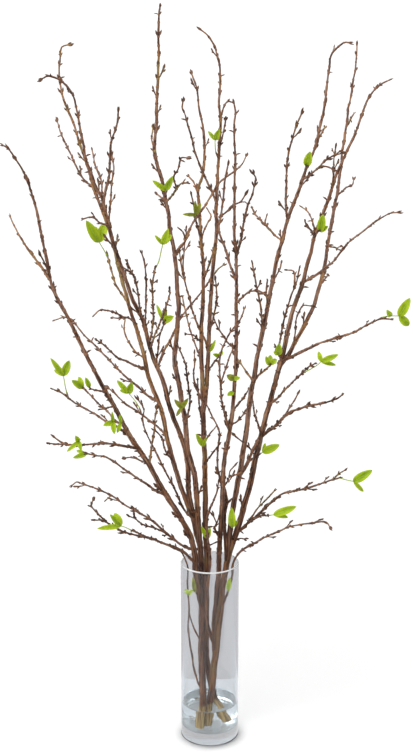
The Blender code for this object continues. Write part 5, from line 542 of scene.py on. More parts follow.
RIGHT_BRANCH = [
    ("trunk", None, [(-0.3, 2.1, -0.2), (0, 5.5, -0.4), (0.4, 9, -0.5), (0.8, 13, -0.5),
     (1.2, 16.5, -0.4), (1.5, 20, -0.2), (1.9, 24, 0), (2.2, 27.5, 0.1), (2.7, 31, 0.2),
     (3.3, 34, 0.2), (3.8, 36.4, 0)], 6.3, 5.0),
    ("tall_right", "trunk", [(3.4, 34.5), (4.3, 37), (5, 39.3), (5.6, 41.5), (6.1, 43.6),
     (6.7, 45.8), (7.2, 48), (7.5, 50), (7.9, 52), (8.4, 54), (8.8, 56), (9.4, 58.5), (10, 61),
     (10.6, 63.5), (11.3, 66.2), (12.1, 69), (12.6, 72), (13.2, 75), (14, 77.9), (14.9, 80.4),
     (15.6, 83.3), (16.3, 86), (16.9, 88.8), (17.7, 91), (18.6, 93.5), (19.4, 96), (20.1, 98.4),
     (21.1, 100.7), (22.1, 103), (23.1, 105.3), (23.8, 107.6), (24.6, 109.8), (25.6, 111.5),
     (26.7, 112.6), (27.8, 113.2, 14)], 5.2, 1.3),
    ("tall_hook", "trunk", [(3, 32.5), (3.2, 36), (3.6, 39.5), (4, 42.5), (4.5, 45), (4.9, 47.5),
     (5.3, 50), (5.7, 53), (6.1, 56), (6.5, 59.5), (6.9, 62.8), (7.4, 65.5), (7.8, 68.5),
     (8.4, 71.6), (9, 74.5), (9.5, 77.5), (10.1, 80.9), (10.8, 84.7), (11.7, 88.1), (12.4, 91.1),
     (13.2, 93.4), (14.2, 96), (15, 98.5), (15.8, 100.6), (16.6, 102.7), (17.1, 105),
     (17.6, 107.3), (18.1, 109.7), (18.3, 112.3), (18.6, 115), (18.8, 117), (19.5, 118),
     (20.8, 119), (21.5, 119, -8)], 4.9, 1.25),
    ("right_upright", "tall_right", [(11.5, 67), (12.9, 68.9), (13.9, 70.9), (14.9, 72.8),
     (16, 75), (16.9, 77.1), (17.4, 78.9), (18, 81), (18.6, 84), (19, 86.7), (19.3, 89.2),
     (19.7, 91.5), (20, 93.7), (20.4, 95.7), (20.6, 97.7), (20.9, 99.9), (21, 102), (21.3, 104.5),
     (21.6, 106.8), (21.8, 109), (22.2, 111.3), (22.4, 113.3), (22.7, 115.2), (22.8, 117),
     (22.8, 118.4, 26)], 3.6, 1.2),
    ("upright_top", "right_upright", [(21.55, 106), (22, 106.9), (22.6, 108.1, 26)], 1.45, 1.2),
    ("upright_hook", "right_upright", [(20.2, 95.2), (21, 95.8), (21.8, 96.5), (22.7, 96.9),
     (22.9, 97.7, 24)], 1.55, 1.2),
    ("upright_inner", "right_upright", [(19, 87), (20.2, 86.8), (21.1, 86.4, 19)], 1.45, 1.2),
    ("upright_low", "right_upright", [(17.8, 80.3), (18.5, 81.4), (19.1, 82.2, 20)], 1.45, 1.2),
    ("reach_right", "tall_right", [(15, 81.2), (16.6, 81.9), (17.7, 82.6), (18.9, 83.7),
     (20.1, 84.7), (21.3, 86.3), (22.5, 87.8), (24, 89), (25.8, 90.4), (27.3, 91.5), (28.8, 92.3),
     (30, 92.5, 0)], 2.15, 1.2),
    ("hook_a", "tall_right", [(16.9, 88.8), (16.2, 89.7), (15.5, 90.2), (15.3, 90.9, 6)], 1.45,
     1.2),
    ("hook_b", "tall_right", [(17, 89.2), (16.6, 90.6), (16.3, 91.5), (15.7, 92.6),
     (14.8, 93.3, 16)], 1.45, 1.2),
    ("upright_thin", "tall_right", [(19.6, 96.6), (19.7, 98.8), (19.7, 101), (19.9, 102.7, 6)],
     1.45, 1.2),
    ("forked_shoot", "tall_right", [(11.7, 67.8), (11.4, 70), (11.7, 72.5), (12.2, 75),
     (12.7, 77.1), (13.2, 78.9), (13.9, 80.6), (14.3, 82), (14.5, 83.2, -3)], 1.75, 1.2),
    ("forked_side", "forked_shoot", [(13.5, 80.2), (13.8, 82), (13.6, 83), (12.8, 83.1, 1)], 1.45,
     1.2),
    ("arched_shoot", "right_upright", [(13.4, 70.2), (14, 72.5), (14.1, 74.8), (14.7, 76.5),
     (15.3, 77.3), (16.3, 77.2, 4)], 1.55, 1.2),
    ("low_reach", "tall_right", [(11.7, 67.8), (13.3, 68.5), (14.6, 69.2), (16.2, 70),
     (17.8, 70.8), (19.5, 71.4), (21.5, 72.1), (23.3, 72.6), (24.9, 73.5), (26.5, 74.4), (28, 75),
     (29.4, 75, -10)], 2.65, 1.25),
    ("low_reach_spur", "low_reach", [(27.3, 74.7), (28.3, 75.3, -9.6)], 1.25, 1.25),
    ("low_leafy", "tall_right", [(9.8, 60.5), (11, 61.3), (12.3, 62.8), (13.5, 64.1), (14.6, 65.2),
     (15.4, 66), (16.2, 66.8), (17.2, 67.4, -6)], 1.85, 1.2),
    ("low_leafy_spur", "low_leafy", [(15, 65.6), (15.8, 66.05, -5.4)], 1.25, 1.25),
    ("level_right", "tall_right", [(8.5, 54.8), (9.7, 55.8), (11.1, 56.8), (12.3, 58.2),
     (13.4, 59.1), (15, 59.7), (16.8, 60.3), (18.3, 60.6), (20, 61), (21.3, 61.5),
     (21.9, 62, -12)], 2.7, 1.2),
    ("level_right_fork", "level_right", [(12.4, 58.3), (13.2, 59.8), (14, 61), (14.5, 62, 0)],
     1.55, 1.2),
    ("dark_cross", "tall_hook", [(5, 47.5), (6.2, 49.9), (7.1, 52.2), (8.1, 54.3),
     (8.9, 56.2, 3.4)], 3.0, 2.0),
    ("fork_upright", "tall_hook", [(12.25, 91.4), (12.2, 93), (12.1, 94.8), (12.2, 96.8),
     (12.2, 98.8), (12.3, 101), (12.7, 103.1), (13.2, 104.9), (13.8, 106.5), (14.4, 108, -18)],
     1.95, 1.2),
    ("hook_side", "tall_hook", [(16.9, 104), (17.6, 105), (18.1, 105.9, -2)], 1.45, 1.2),
    ("hook_right", "tall_hook", [(14.6, 97.7), (16, 98.6), (17.2, 99.6), (18.2, 100.6),
     (19.3, 101.4), (20.8, 101.9, -14)], 1.65, 1.2),
    ("hook_right_low", "hook_right", [(17.2, 99.8), (18.4, 99.9), (19.3, 99.6, -10)], 1.45, 1.2),
    ("hook_left", "tall_hook", [(11.4, 88), (10.4, 88.9), (9.4, 89.9), (8.3, 91.1), (7.3, 92.1),
     (6.8, 93.1, 3)], 1.65, 1.2),
    ("hook_left_up", "hook_left", [(9.2, 90.1), (8.9, 90.9), (9.1, 91.7, 0)], 1.45, 1.2),
    ("hook_low_right", "tall_hook", [(9.9, 80.9), (10.7, 82.1), (11.3, 83.3), (11.5, 84.1, 1)],
     1.45, 1.2),
    ("hook_low_left", "tall_hook", [(9.25, 77), (9.2, 79.3), (9.3, 81.3, -10)], 1.45, 1.2),
    ("hook_shoot", "tall_hook", [(8.7, 73.3), (8.5, 75.3), (8.2, 77.5), (7.8, 79.5), (7.4, 81.3),
     (7.1, 82.6), (6.9, 84.1, -12)], 1.65, 1.2),
    ("hook_cross", "tall_hook", [(7.1, 64.5), (6.4, 65.5), (5.8, 66.4), (5, 67.6), (4.3, 68.7, 1)],
     1.75, 1.2),
    ("hook_leafy", "tall_hook", [(7, 64), (7.9, 65.2), (8.7, 66), (9.7, 66.9, -7)], 1.85, 1.3),
    ("bright_leaf_spur", "tall_right", [(11.8, 68.2), (11.3, 68.8, 3)], 1.25, 1.25),
    ("upright", "trunk", [(1, 14.5), (0.8, 17.5, 0.6), (0.8, 21, 0.7), (1.1, 25, 0.5),
     (1.4, 28.5, 0.3), (1.6, 32, 0), (1.7, 36, -0.4), (1.9, 40), (2.1, 44), (2.2, 47.5), (2.5, 51),
     (3, 54), (3.5, 57), (3.8, 60), (4, 63), (4.3, 67), (4.3, 71), (4.3, 75), (4.3, 79),
     (4.3, 82.5), (4.2, 86), (3.9, 89), (3.9, 93), (3.9, 97), (4, 100), (4, 102.3), (3.8, 104.5),
     (3.8, 106.5), (4, 108.2), (3.8, 109.4, -20)], 4.7, 1.2),
    ("upright_fork", "upright", [(4.15, 85.5), (4.8, 87.5), (5.2, 89.5), (5.6, 91.6), (6, 93.5),
     (6.7, 95.2), (7.1, 97), (7.3, 97.8), (7, 98.5, -26)], 1.95, 1.2),
    ("upright_left", "upright", [(4.3, 81.3), (3.5, 83.4), (2.8, 85.5), (2.2, 87.3), (1.6, 88.9),
     (1.4, 90.4), (1.8, 92.2), (2.1, 94.2), (2.2, 96), (2.4, 97.8), (2.8, 99.8, -11)], 2.05, 1.2),
    ("upright_left_twig", "upright_left", [(1.7, 91.9), (2.6, 92.5), (3.4, 93.2), (4.2, 93.9),
     (4.9, 94.2), (5.5, 95.2, -11)], 1.45, 1.2),
    ("upright_right", "upright", [(4.35, 77.6), (5.2, 78.5), (6, 79.2), (6.8, 79.6), (7.8, 79.7),
     (8.6, 79.4, -16)], 1.65, 1.2),
    ("upright_small", "upright", [(4.35, 73.9), (5, 75), (5.4, 75.9), (5.6, 76.6, -7)], 1.45, 1.2),
    ("thin_loop", "upright", [(3.2, 55.6), (2.9, 57.3), (2.4, 59), (2, 61), (1.8, 63.5), (1.6, 66),
     (1.6, 68), (2, 70), (2.6, 71.4), (3.3, 72.7), (4.2, 73.8, -14)], 1.85, 1.2),
    ("thin_pair", "thin_loop", [(1.8, 63.8), (2.4, 65.8), (2.8, 67.3), (3.2, 68.6),
     (3.7, 69.8, -5)], 1.45, 1.2),
    ("thin_cross", "upright", [(4.2, 69.8), (3.5, 70.5), (2.8, 71.2), (2.2, 72.2), (1.4, 73.3),
     (0.9, 74.5, -13)], 1.45, 1.2),
    ("small_diagonal", "upright", [(3.7, 59.2), (4.8, 60.5), (5.7, 61.7), (6.4, 62.9, -1)], 1.65,
     1.2),
    ("thin_join", "tall_right", [(8.5, 54.9), (8.1, 56.8), (7.5, 58.5), (7.2, 60.4), (7, 62, -1)],
     1.65, 1.2),
    ("up_left", "tall_right", [(7.7, 51.2), (6.9, 52.6), (6.1, 53.4), (5.2, 54.1), (4.3, 54.9, 2)],
     1.55, 1.2),
    ("knot_twig", "upright", [(3.4, 57), (4.4, 57.3), (5.1, 58.1), (5.7, 58.9), (6.3, 59.9, -8)],
     1.45, 1.2),
    ("dark_inner", "upright", [(2.15, 46), (1.6, 48), (1.3, 50), (1.3, 52), (1.5, 54), (1.6, 55.6),
     (1.1, 57), (0.4, 58.3), (-0.1, 59.5), (-0.5, 60.4, -5)], 1.95, 1.2),
    ("low_curl", "upright", [(2.15, 45.6), (2.9, 46.8), (3.4, 47.7), (4, 47.9), (4.9, 48.3, -6)],
     1.45, 1.2),
    ("low_curl_up", "low_curl", [(3.2, 47.5), (3.4, 48.7), (4, 49.5, -4.6)], 1.45, 1.2),
    ("second_upright", "trunk", [(2.9, 32.2), (2.7, 35.5, -0.6), (2.5, 38.5, -1), (2.5, 41, -1.2),
     (2.8, 43.2), (2.5, 45.2), (2.1, 47, -2)], 3.6, 2.4),
    ("knotty_low", "upright", [(1.8, 37.2), (1.2, 37.9), (0.6, 38.4), (1.1, 39.2), (0.9, 40),
     (0.7, 40.6, -1.6)], 1.35, 1.15),
    ("knotty_low_fork", "knotty_low", [(1.1, 39.2), (1.3, 39.8), (1.5, 40.4, -2)], 1.15, 1.15),
    ("front_slant", "trunk", [(1.2, 15.7), (0.4, 17.9, -1.4), (-0.3, 20.5, -2), (-0.6, 23.5, -2.3),
     (-0.5, 27, -2.3), (-0.1, 30.5, -2.3), (0, 33.5, -2.4), (-0.3, 36.5), (-0.6, 39.5),
     (-0.1, 41.6), (0.6, 43.4), (1.2, 45), (1.4, 46.6, -4.6)], 3.2, 1.3),
    ("low_right_long", "tall_right", [(4.5, 37.9), (5.6, 38.5), (6.5, 39.5), (7.7, 40.4),
     (9.4, 42.2), (11, 43.7), (12.4, 44.7), (14, 45.1), (15.7, 45.5), (17.2, 45.9), (18.8, 46.5),
     (20.3, 47.1), (21.8, 47.5, -10)], 2.65, 1.3),
    ("low_right_stub", "low_right_long", [(20.7, 47.3), (21.6, 48.1), (22.6, 48.8, -11)], 1.45,
     1.2),
    ("low_right_thin", "low_right_long", [(6.4, 39.5), (7.5, 41.2), (8.3, 42.4), (9.5, 43.6),
     (10.8, 45.1, 3)], 1.55, 1.2),
    ("low_right_leafy", "low_right_long", [(7.3, 40.2), (8.6, 40.7), (9.8, 40.8, -8)], 1.55, 1.3),
    ("low_right_under", "trunk", [(1.9, 23.6), (2.7, 25.7, -0.6), (3.3, 27.6, -0.8),
     (3.8, 29.6, -0.9), (3.9, 31.3, -1), (4.3, 32.9, -1.2), (5.2, 34.1, -1.8), (6.6, 35.2),
     (8, 36), (9.9, 37), (11.8, 37.9), (13.6, 38.8), (15.2, 39.1), (17.2, 39.4), (19, 39.7),
     (19.9, 39.6), (20.4, 38.9, -12)], 2.05, 1.2),
    ("low_stub", "tall_right", [(3.9, 36), (5.1, 36.6), (5.9, 36.5, -3)], 1.45, 1.2),
    ("round_spur_a", "tall_hook", [(15.1, 98.9), (15.4, 99.7, -8.6)], 1.45, 1.3),
    ("round_spur_b", "tall_right", [(16.9, 88.7), (17.4, 89.4, 7.6)], 1.45, 1.3),
    ("olive_front_spur", "upright", [(4.1, 64.2), (4, 64.6, -9)], 1.25, 1.25),
    ("small_front_spur", "upright", [(4, 62), (3.95, 62.4, -8.6)], 1.25, 1.25),
    ("low_leaf_spur", "tall_right", [(7.7, 51.2), (8.6, 51.9, 1)], 1.25, 1.25),
    ("front_leaf_spur", "tall_hook", [(3.6, 38.2), (3.8, 38.6, -1.6)], 1.25, 1.25),
    ("glass_right_spur", "low_right_under", [(3, 26.4), (3.1, 26.9, -1.6)], 1.25, 1.25),
]

BRANCHES = {
    "left_branch": LEFT_BRANCH,
    "centre_branch": CENTRE_BRANCH,
    "right_branch": RIGHT_BRANCH,
}

# Each sprig: the branch and twig that it grows from, its stalk's further points, and its
# blades. A blade is (base, tip, width, depth at base, depth at tip), in centimetres.
SPRIGS = [
    ("left_branch", "long_stalk", [(-17.2, 86.5, 12), (-17.9, 87.7, 12)],
     [((-18, 87.7), (-19.9, 91.2), 1.7, 12, 10.4), ((-17.8, 87.7), (-16.9, 90.8), 1.7, 12, 13),
      ((-17.9, 87.6), (-18.5, 90.2), 1.0, 12, 15)]),
    ("left_branch", "tallest_spur", [(-7.1, 96.1, -12.6)],
     [((-7.1, 96), (-9.2, 97.6), 0.8, -12.6, -13.6),
      ((-7.05, 95.9), (-5.9, 98.3), 1.0, -12.6, -14)]),
    ("left_branch", "inner_three", [(-8.3, 84.5, -18.4), (-7.9, 86.2, -18.6), (-7.6, 87.4, -18.6)],
     [((-7.6, 87.4), (-8.9, 88.8), 0.6, -18.6, -19.4),
      ((-7.6, 87.3), (-6.2, 88.9), 0.9, -18.6, -18),
      ((-7.6, 87.5), (-6.7, 89.9), 1.0, -18.6, -20.2)]),
    ("left_branch", "diagonal_leaf_spur", [(-2.2, 92.1, -10)],
     [((-2.2, 92), (-4.4, 92.2), 0.6, -10, -11), ((-2.2, 92), (-2.4, 94.4), 0.7, -10, -11.4),
      ((-2.2, 92), (-1.5, 94), 0.7, -10, -9.4)]),
    ("left_branch", "leaf_stalk_mid", [(-7.65, 74.7, -3.8)],
     [((-7.6, 74.6), (-5.9, 75.4), 1.2, -3.8, -4.6), ((-7.6, 74.7), (-7.2, 77), 0.9, -3.8, -4.2),
      ((-7.65, 74.7), (-8.7, 77.4), 0.6, -3.8, -2.6)]),
    ("left_branch", "leafy_left_spur", [(-24, 63.6, -4.8), (-24.25, 65.4, -4.8)],
     [((-24.2, 65.3), (-26.3, 68.4), 0.9, -4.8, -6),
      ((-24.25, 65.3), (-23.2, 68), 1.3, -4.8, -4.2),
      ((-24.25, 65.2), (-25.7, 66.4), 0.7, -4.8, -3)]),
    ("left_branch", "round_leaf_twig", [(-21.05, 63.35, 4.2)],
     [((-21, 63.35), (-22.9, 64.6), 1.2, 4.2, 3.4), ((-21, 63.35), (-21.7, 65.2), 0.9, 4.2, 5.4)]),
    ("left_branch", "side_leaf_twig", [(-19.95, 63.4, -13.2)],
     [((-19.9, 63.4), (-20.6, 65.1), 0.8, -13.2, -13.6)]),
    ("left_branch", "left_reach_spur", [(-12.4, 61, 4.4), (-13.5, 62.4, 4.8)],
     [((-13.4, 62.3), (-12.9, 64.3), 1.2, 4.8, 4), ((-13.5, 62.4), (-15.4, 64.6), 0.9, 4.8, 5.4),
      ((-13.5, 62.3), (-14.9, 62.9), 0.6, 4.8, 6.2)]),
    ("left_branch", "curl_leaf_spur", [(-16.2, 57.4, -7.7)],
     [((-16.2, 57.35), (-17.8, 56.8), 0.9, -7.7, -8.4),
      ((-16.2, 57.3), (-16.3, 59.2), 0.6, -7.7, -8.8),
      ((-16.15, 57.3), (-16, 55.3), 0.9, -7.7, -9.2)]),
    ("left_branch", "strip_leaf_spur", [(-14.9, 57.2, -9.4)],
     [((-14.9, 57.2), (-15, 58.7), 0.6, -9.4, -10),
      ((-14.9, 57.2), (-15.5, 55.5), 0.7, -9.4, -10)]),
    ("left_branch", "level_leaf_spur", [(-22, 54, -17.7)],
     [((-22, 54), (-22.5, 55), 0.8, -17.7, -18.4), ((-22, 54), (-21.6, 52.3), 0.7, -17.7, -19),
      ((-22, 54), (-24, 52.2), 0.7, -17.7, -19.2)]),
    ("left_branch", "low_left_shoot", [(-20.7, 51.8, -14.2)],
     [((-20.7, 51.8), (-23, 51.1), 0.8, -14.2, -14.8),
      ((-20.7, 51.8), (-22.4, 52.4), 0.6, -14.2, -13)]),
    ("left_branch", "olive_spur", [(-4.7, 59.9, -5.6)],
     [((-4.7, 59.9), (-5.9, 61.3), 0.8, -5.6, -6.2), ((-4.7, 59.9), (-3.6, 61.5), 0.8, -5.6, -6.4),
      ((-4.7, 59.9), (-5.6, 58.4), 0.6, -5.6, -6.4)]),
    ("left_branch", "low_left_leafy", [(-14.3, 38.6, -12.6), (-15.2, 38.9, -12.8)],
     [((-15.1, 38.9), (-16.2, 41.2), 1.4, -12.8, -12),
      ((-15.2, 38.9), (-17, 41), 0.9, -12.8, -14.4),
      ((-15.2, 38.9), (-19.2, 38.4), 0.9, -12.8, -14)]),
    ("left_branch", "glass_leaf_spur", [(-3.6, 26.35, -1.9)],
     [((-3.6, 26.3), (-4.15, 27.3), 0.7, -1.9, -1.4),
      ((-3.6, 26.3), (-2.9, 27.2), 0.7, -1.9, -2.3)]),
    ("left_branch", "glass_long_spur", [(-2.55, 26.8, -1.5)],
     [((-2.55, 26.8), (-2.85, 29.6), 0.7, -1.5, -2.4)]),
    ("centre_branch", "high_leaf_spur", [(0.8, 103.4, 3.2), (0.8, 104, 3.1)],
     [((0.8, 103.9), (1.5, 105.7), 1.0, 3.1, 2.2), ((0.8, 103.9), (-0.3, 105.4), 0.6, 3.1, 3.4)]),
    ("centre_branch", "leaf_twig", [(1.5, 68.7, 1.9)],
     [((1.5, 68.7), (0.5, 69.1), 0.7, 1.9, 1), ((1.5, 68.7), (2.1, 69.6), 0.7, 1.9, 2.4)]),
    ("centre_branch", "slender_spur", [(0.15, 69.6, 2.8)],
     [((0.15, 69.6), (0.9, 71.5), 0.6, 2.8, 2.4)]),
    ("centre_branch", "mid_leaf_spur", [(-1.15, 53.2, 1.9)],
     [((-1.15, 53.2), (-2.3, 55.3), 0.9, 1.9, 1.4), ((-1.15, 53.2), (-0.6, 54.7), 0.6, 1.9, 1)]),
    ("centre_branch", "rim_leaf_spur", [(-0.45, 36.7, 1)],
     [((-0.45, 36.7), (-1.5, 38.9), 0.8, 1, -0.2), ((-0.45, 36.7), (0.1, 38.6), 0.9, 1, 0),
      ((-0.45, 36.7), (-0.5, 38), 0.7, 1, 1.2)]),
    ("right_branch", "low_reach_spur", [(29.6, 75.5, -9.8), (31, 75.5, -10)],
     [((29.9, 75.5), (28.9, 76.5), 0.9, -9.9, -10.8), ((31, 75.5), (32.7, 78.5), 1.5, -10, -11),
      ((31, 75.5), (32.7, 73.9), 1.3, -10, -9.4)]),
    ("right_branch", "low_leafy_spur", [(16.8, 66.6, -5.4), (17.6, 67.1, -5.4),
                                        (18.4, 67.8, -5.6)],
     [((18.4, 67.8), (17.9, 69.5), 0.8, -5.6, -5), ((18.4, 67.8), (21.2, 69), 1.0, -5.6, -6.4),
      ((18.3, 67.7), (20.8, 67.2), 0.7, -5.6, -5.4)]),
    ("right_branch", "hook_leafy", [(9.9, 67.3, -7.2)],
     [((9.9, 67.2), (9.2, 68.7), 0.9, -7.2, -8), ((9.9, 67.2), (11, 68.2), 0.9, -7.2, -6.4),
      ((9.9, 67.2), (10, 68.9), 0.8, -7.2, -5.8)]),
    ("right_branch", "bright_leaf_spur", [(11.25, 69, 2.8)],
     [((11.25, 69), (11.4, 70.9), 1.3, 2.8, 1.8), ((11.25, 69), (10.5, 69.5), 0.7, 2.8, 2.6)]),
    ("right_branch", "round_spur_a", [(15.35, 99.9, -8.8)],
     [((15.35, 99.9), (15.9, 102.2), 1.3, -8.8, -9.4)]),
    ("right_branch", "round_spur_b", [(17.7, 89.4, 7.3)],
     [((17.7, 89.4), (18.2, 92.2), 1.4, 7.3, 6.6), ((17.7, 89.4), (19, 90.3), 0.8, 7.3, 7)]),
    ("right_branch", "olive_front_spur", [(4, 64.8, -9.3)],
     [((4, 64.8), (2.8, 65.5), 1.1, -9.3, -9.8), ((4, 64.8), (5, 65.1), 0.7, -9.3, -9.6)]),
    ("right_branch", "small_front_spur", [(3.9, 62.6, -8.9)],
     [((3.9, 62.6), (2.9, 62), 0.8, -8.9, -9.2)]),
    ("right_branch", "low_leaf_spur", [(8.9, 52.1, 0.8)],
     [((8.9, 52.1), (11.7, 53.4), 1.4, 0.8, 0.2), ((8.9, 52.1), (9.3, 53.7), 0.6, 0.8, 1.6)]),
    ("right_branch", "front_leaf_spur", [(3.8, 38.8, -1.9)],
     [((3.8, 38.8), (3.7, 42.3), 1.3, -1.9, -3.2), ((3.8, 38.8), (4.8, 39.9), 0.7, -1.9, -2.2)]),
    ("right_branch", "low_right_leafy", [(10.9, 40.9, -8.3)],
     [((10.8, 40.9), (14.7, 42.4), 1.3, -8.3, -8.8), ((10.8, 40.9), (13.3, 40.5), 0.7, -8.3, -7)]),
    ("right_branch", "low_right_long", [(23, 47.2, -10.4), (24.3, 46.9, -10.6)],
     [((24.2, 46.9), (27.4, 48.9), 1.4, -10.6, -11.4),
      ((24.3, 46.9), (26, 45.1), 0.7, -10.6, -9.8)]),
    ("right_branch", "glass_right_spur", [(3.1, 27.1, -1.9)],
     [((3.1, 27.1), (3.4, 29.5), 0.8, -1.9, -2.2)]),
]

print(sum(len(rows) for rows in BRANCHES.values()), "stems and", len(SPRIGS), "sprigs")

# %% [markdown]
# ## From routes to smooth lines
#
# A route is only a handful of places, so a smooth curve is laid through them. Points about
# 4 mm apart are enough for the bends of a twig. A real stem is never a clean curve: it
# wavers by less than a millimetre from bud to bud, which a slow three-dimensional noise adds.
# Noise that depends only on the place moves a twig and the stem it grows from by the same
# amount, so no joint opens. Its seed is set, because it would otherwise come from the clock.

# %% Places in metres
WANDER = 0.9 * MM
WANDER_PER_M = 38
WANDER_SEED = 5

noise.seed_set(WANDER_SEED)


def sight_point(point):
    """Turn (across, up, depth) in centimetres, as seen by the camera, into metres."""
    across, up, depth = point
    on_plane = Vector((across * CM, 0, up * CM))
    return EYE + (on_plane - EYE) * ((depth * CM - EYE.y) / -EYE.y)


def wavered(point):
    """Move a place by the small waver that every stem has."""
    return point + noise.noise_vector(point * WANDER_PER_M) * WANDER


print("the vase's middle wavers by", [round(c / MM, 2) for c in wavered(Vector())], "mm")


# %% Smooth curves
def spread_depths(route, first_depth):
    """Give every route point a depth, evenly by distance between the stated ones."""
    known = [point[2] if len(point) == 3 else None for point in route]
    if known[0] is None:
        known[0] = first_depth
    travelled = [0.0]
    for before, after in zip(route, route[1:]):
        travelled.append(travelled[-1] + math.dist(before[:2], after[:2]))
    stated = [index for index, depth in enumerate(known) if depth is not None]
    for start, end in zip(stated, stated[1:]):
        for index in range(start + 1, end):
            share = (travelled[index] - travelled[start]) / (travelled[end] - travelled[start])
            known[index] = known[start] + share * (known[end] - known[start])
    return [Vector((*point[:2], depth)) for point, depth in zip(route, known)]


def curve_through(points, step):
    """Points about a step apart on a smooth curve through the given ones."""
    ends = [points[0] * 2 - points[1], *points, points[-1] * 2 - points[-2]]
    fine = [points[0]]
    for a, b, c, d in zip(ends, ends[1:], ends[2:], ends[3:]):
        parts = max(1, round((c - b).length / step))
        for part in range(1, parts + 1):
            t = part / parts
            fine.append(0.5 * (2 * b + (c - a) * t + (2 * a - 5 * b + 4 * c - d) * t ** 2
                               + (3 * b - a - 3 * c + d) * t ** 3))
    return fine


def nearest_on(line, across, up):
    """The point of a line that looks nearest to a place in the view."""
    best = None
    for a, b in zip(line, line[1:]):
        flat = Vector((b.x - a.x, b.y - a.y))
        along = ((across - a.x) * flat.x + (up - a.y) * flat.y) / (flat.length_squared or 1.0)
        point = a.lerp(b, min(1, max(0, along)))
        distance = math.hypot(point.x - across, point.y - up)
        if best is None or distance < best[0]:
            best = (distance, point)
    return best[1]


print("a curve through three places has",
      len(curve_through([Vector(), Vector((1, 0, 0)), Vector((1, 1, 0))], 0.1)), "points")

# %% Every stem's line and thickness
STEP_CM = 0.4
STOUT_FROM = 2.65
STOUT_TAPER = 1.3
TWIG_TAPER = 0.8


def lay_out(rows):
    """Every stem of a branch: its line in the view and in metres, and its radii in metres."""
    stems = {}
    for name, parent, route, start_radius, tip_radius in rows:
        route = list(route)
        if parent:
            route[0] = tuple(nearest_on(stems[parent]["view"], *route[0][:2]))
        view = curve_through(spread_depths(route, 0), STEP_CM)
        line = [wavered(sight_point(point)) for point in view]
        lengths = [0.0]
        for before, after in zip(line, line[1:]):
            lengths.append(lengths[-1] + (after - before).length)
        shares = [length / lengths[-1] for length in lengths]
        taper = STOUT_TAPER if start_radius > STOUT_FROM else TWIG_TAPER
        radii = [(start_radius + (tip_radius - start_radius) * share ** taper) * MM
                 for share in shares]
        stems[name] = {"view": view, "line": line, "radii": radii, "lengths": lengths}
    return stems


layouts = {name: lay_out(rows) for name, rows in BRANCHES.items()}
for name, stems in layouts.items():
    print(name, "runs to", round(sum(stem["lengths"][-1] for stem in stems.values()), 2), "m")

# %% [markdown]
# ## Bark
#
# Young woody stems have thin bark: red-brown where it is new, greyer and more purple where it
# is older, with tan and olive stretches. Close to, it has long lengthwise streaks and furrows,
# drawn-out knots, and short pale breathing pores that lie across the stem. The streaks are
# drawn about 2 mm wide, coarser than real fibres, because finer ones don't show at this size.
# The pattern reads an attribute called grain, which measures round and along each stem, so the
# streaks follow every bend. The broad changes of colour read Object coordinates instead,
# because they run on from stem to stem. Each stem also has its own tone, and buds are darker
# at their tips. From the foot to a little under the rim the bark is painted darker, fading out
# some way above the vase: painted shade for the light that the glass holds back, as the glass
# here casts no shadow. The last few centimetres have stood in water, which bleaches them to tan.
#
# Such a surface could be one painted picture. Layers are easier to change: each is one colour
# over what lies under it, and a ramp says where it covers.

# %% Patterns in millimetres and paint in layers
GRAIN_ROUGHNESS = 0.55


def fitted(tree, place, size_mm):
    """Coordinates in which one unit is size_mm long, along X, Y and Z."""
    return add(tree, "ShaderNodeMapping",
               {"Vector": place, "Scale": [1000 / across for across in size_mm]})


def pattern(tree, place, size_mm, detail):
    """Noise with lumps of about size_mm."""
    return add(tree, "ShaderNodeTexNoise",
               {"Vector": fitted(tree, place, size_mm), "Scale": 1.0, "Detail": detail,
                "Roughness": GRAIN_ROUGHNESS})


def painted(tree, colour, layers):
    """Lay colours over a first one: each layer has what its ramp reads, the ramp's stops,
    its colour, and the way in which it is blended."""
    for source, stops, paint, blend in layers:
        cover = add(tree, "ShaderNodeValToRGB", {"Fac": source}, stops)
        colour = add(tree, "ShaderNodeMix", {FACTOR: cover, UNDER: colour, OVER: paint},
                     data_type="RGBA", blend_type=blend)
    return colour


print("patterns are sized in millimetres, and paint goes on in layers")

# %% Patterns of the bark, in real sizes
FIBRE_MM = (2.0, 2.0, 45.0)
KNOT_MM = (3.0, 3.0, 9.0)
PATCH_MM = (55.0, 55.0, 55.0)
PORE_MM = (2.2, 2.2, 1.1)
TONE_WEIGHT = 0.45

bark, tree, shader = new_material("young_shoot_bark")
place = add(tree, "ShaderNodeTexCoord").outputs["Object"]
height = add(tree, "ShaderNodeSeparateXYZ", {"Vector": place}).outputs["Z"]
grain, tone, tip = (
    add(tree, "ShaderNodeAttribute", attribute_name=name).outputs[output]
    for name, output in (("grain", "Vector"), ("tone", "Fac"), ("tip", "Fac")))
fibre = pattern(tree, grain, FIBRE_MM, 4.0)
knot = pattern(tree, grain, KNOT_MM, 2.0)
patch = pattern(tree, place, PATCH_MM, 3.0)
pores = add(tree, "ShaderNodeTexVoronoi",
            {"Vector": fitted(tree, grain, PORE_MM), "Scale": 1.0})
own_tone = add(tree, "ShaderNodeMath", (tone, TONE_WEIGHT), operation="MULTIPLY")
patch_and_tone = add(tree, "ShaderNodeMath", (patch, own_tone), operation="ADD")
print("bark patterns in millimetres:", FIBRE_MM, KNOT_MM, PATCH_MM, PORE_MM)

# %% Bark of young shoots, air-dried: matt, with streaks, knots, pores and patches
WATER_LEVEL = 62 * MM
KNOT_RELIEF = 1.6
RELIEF_DEPTH = 0.5 * MM

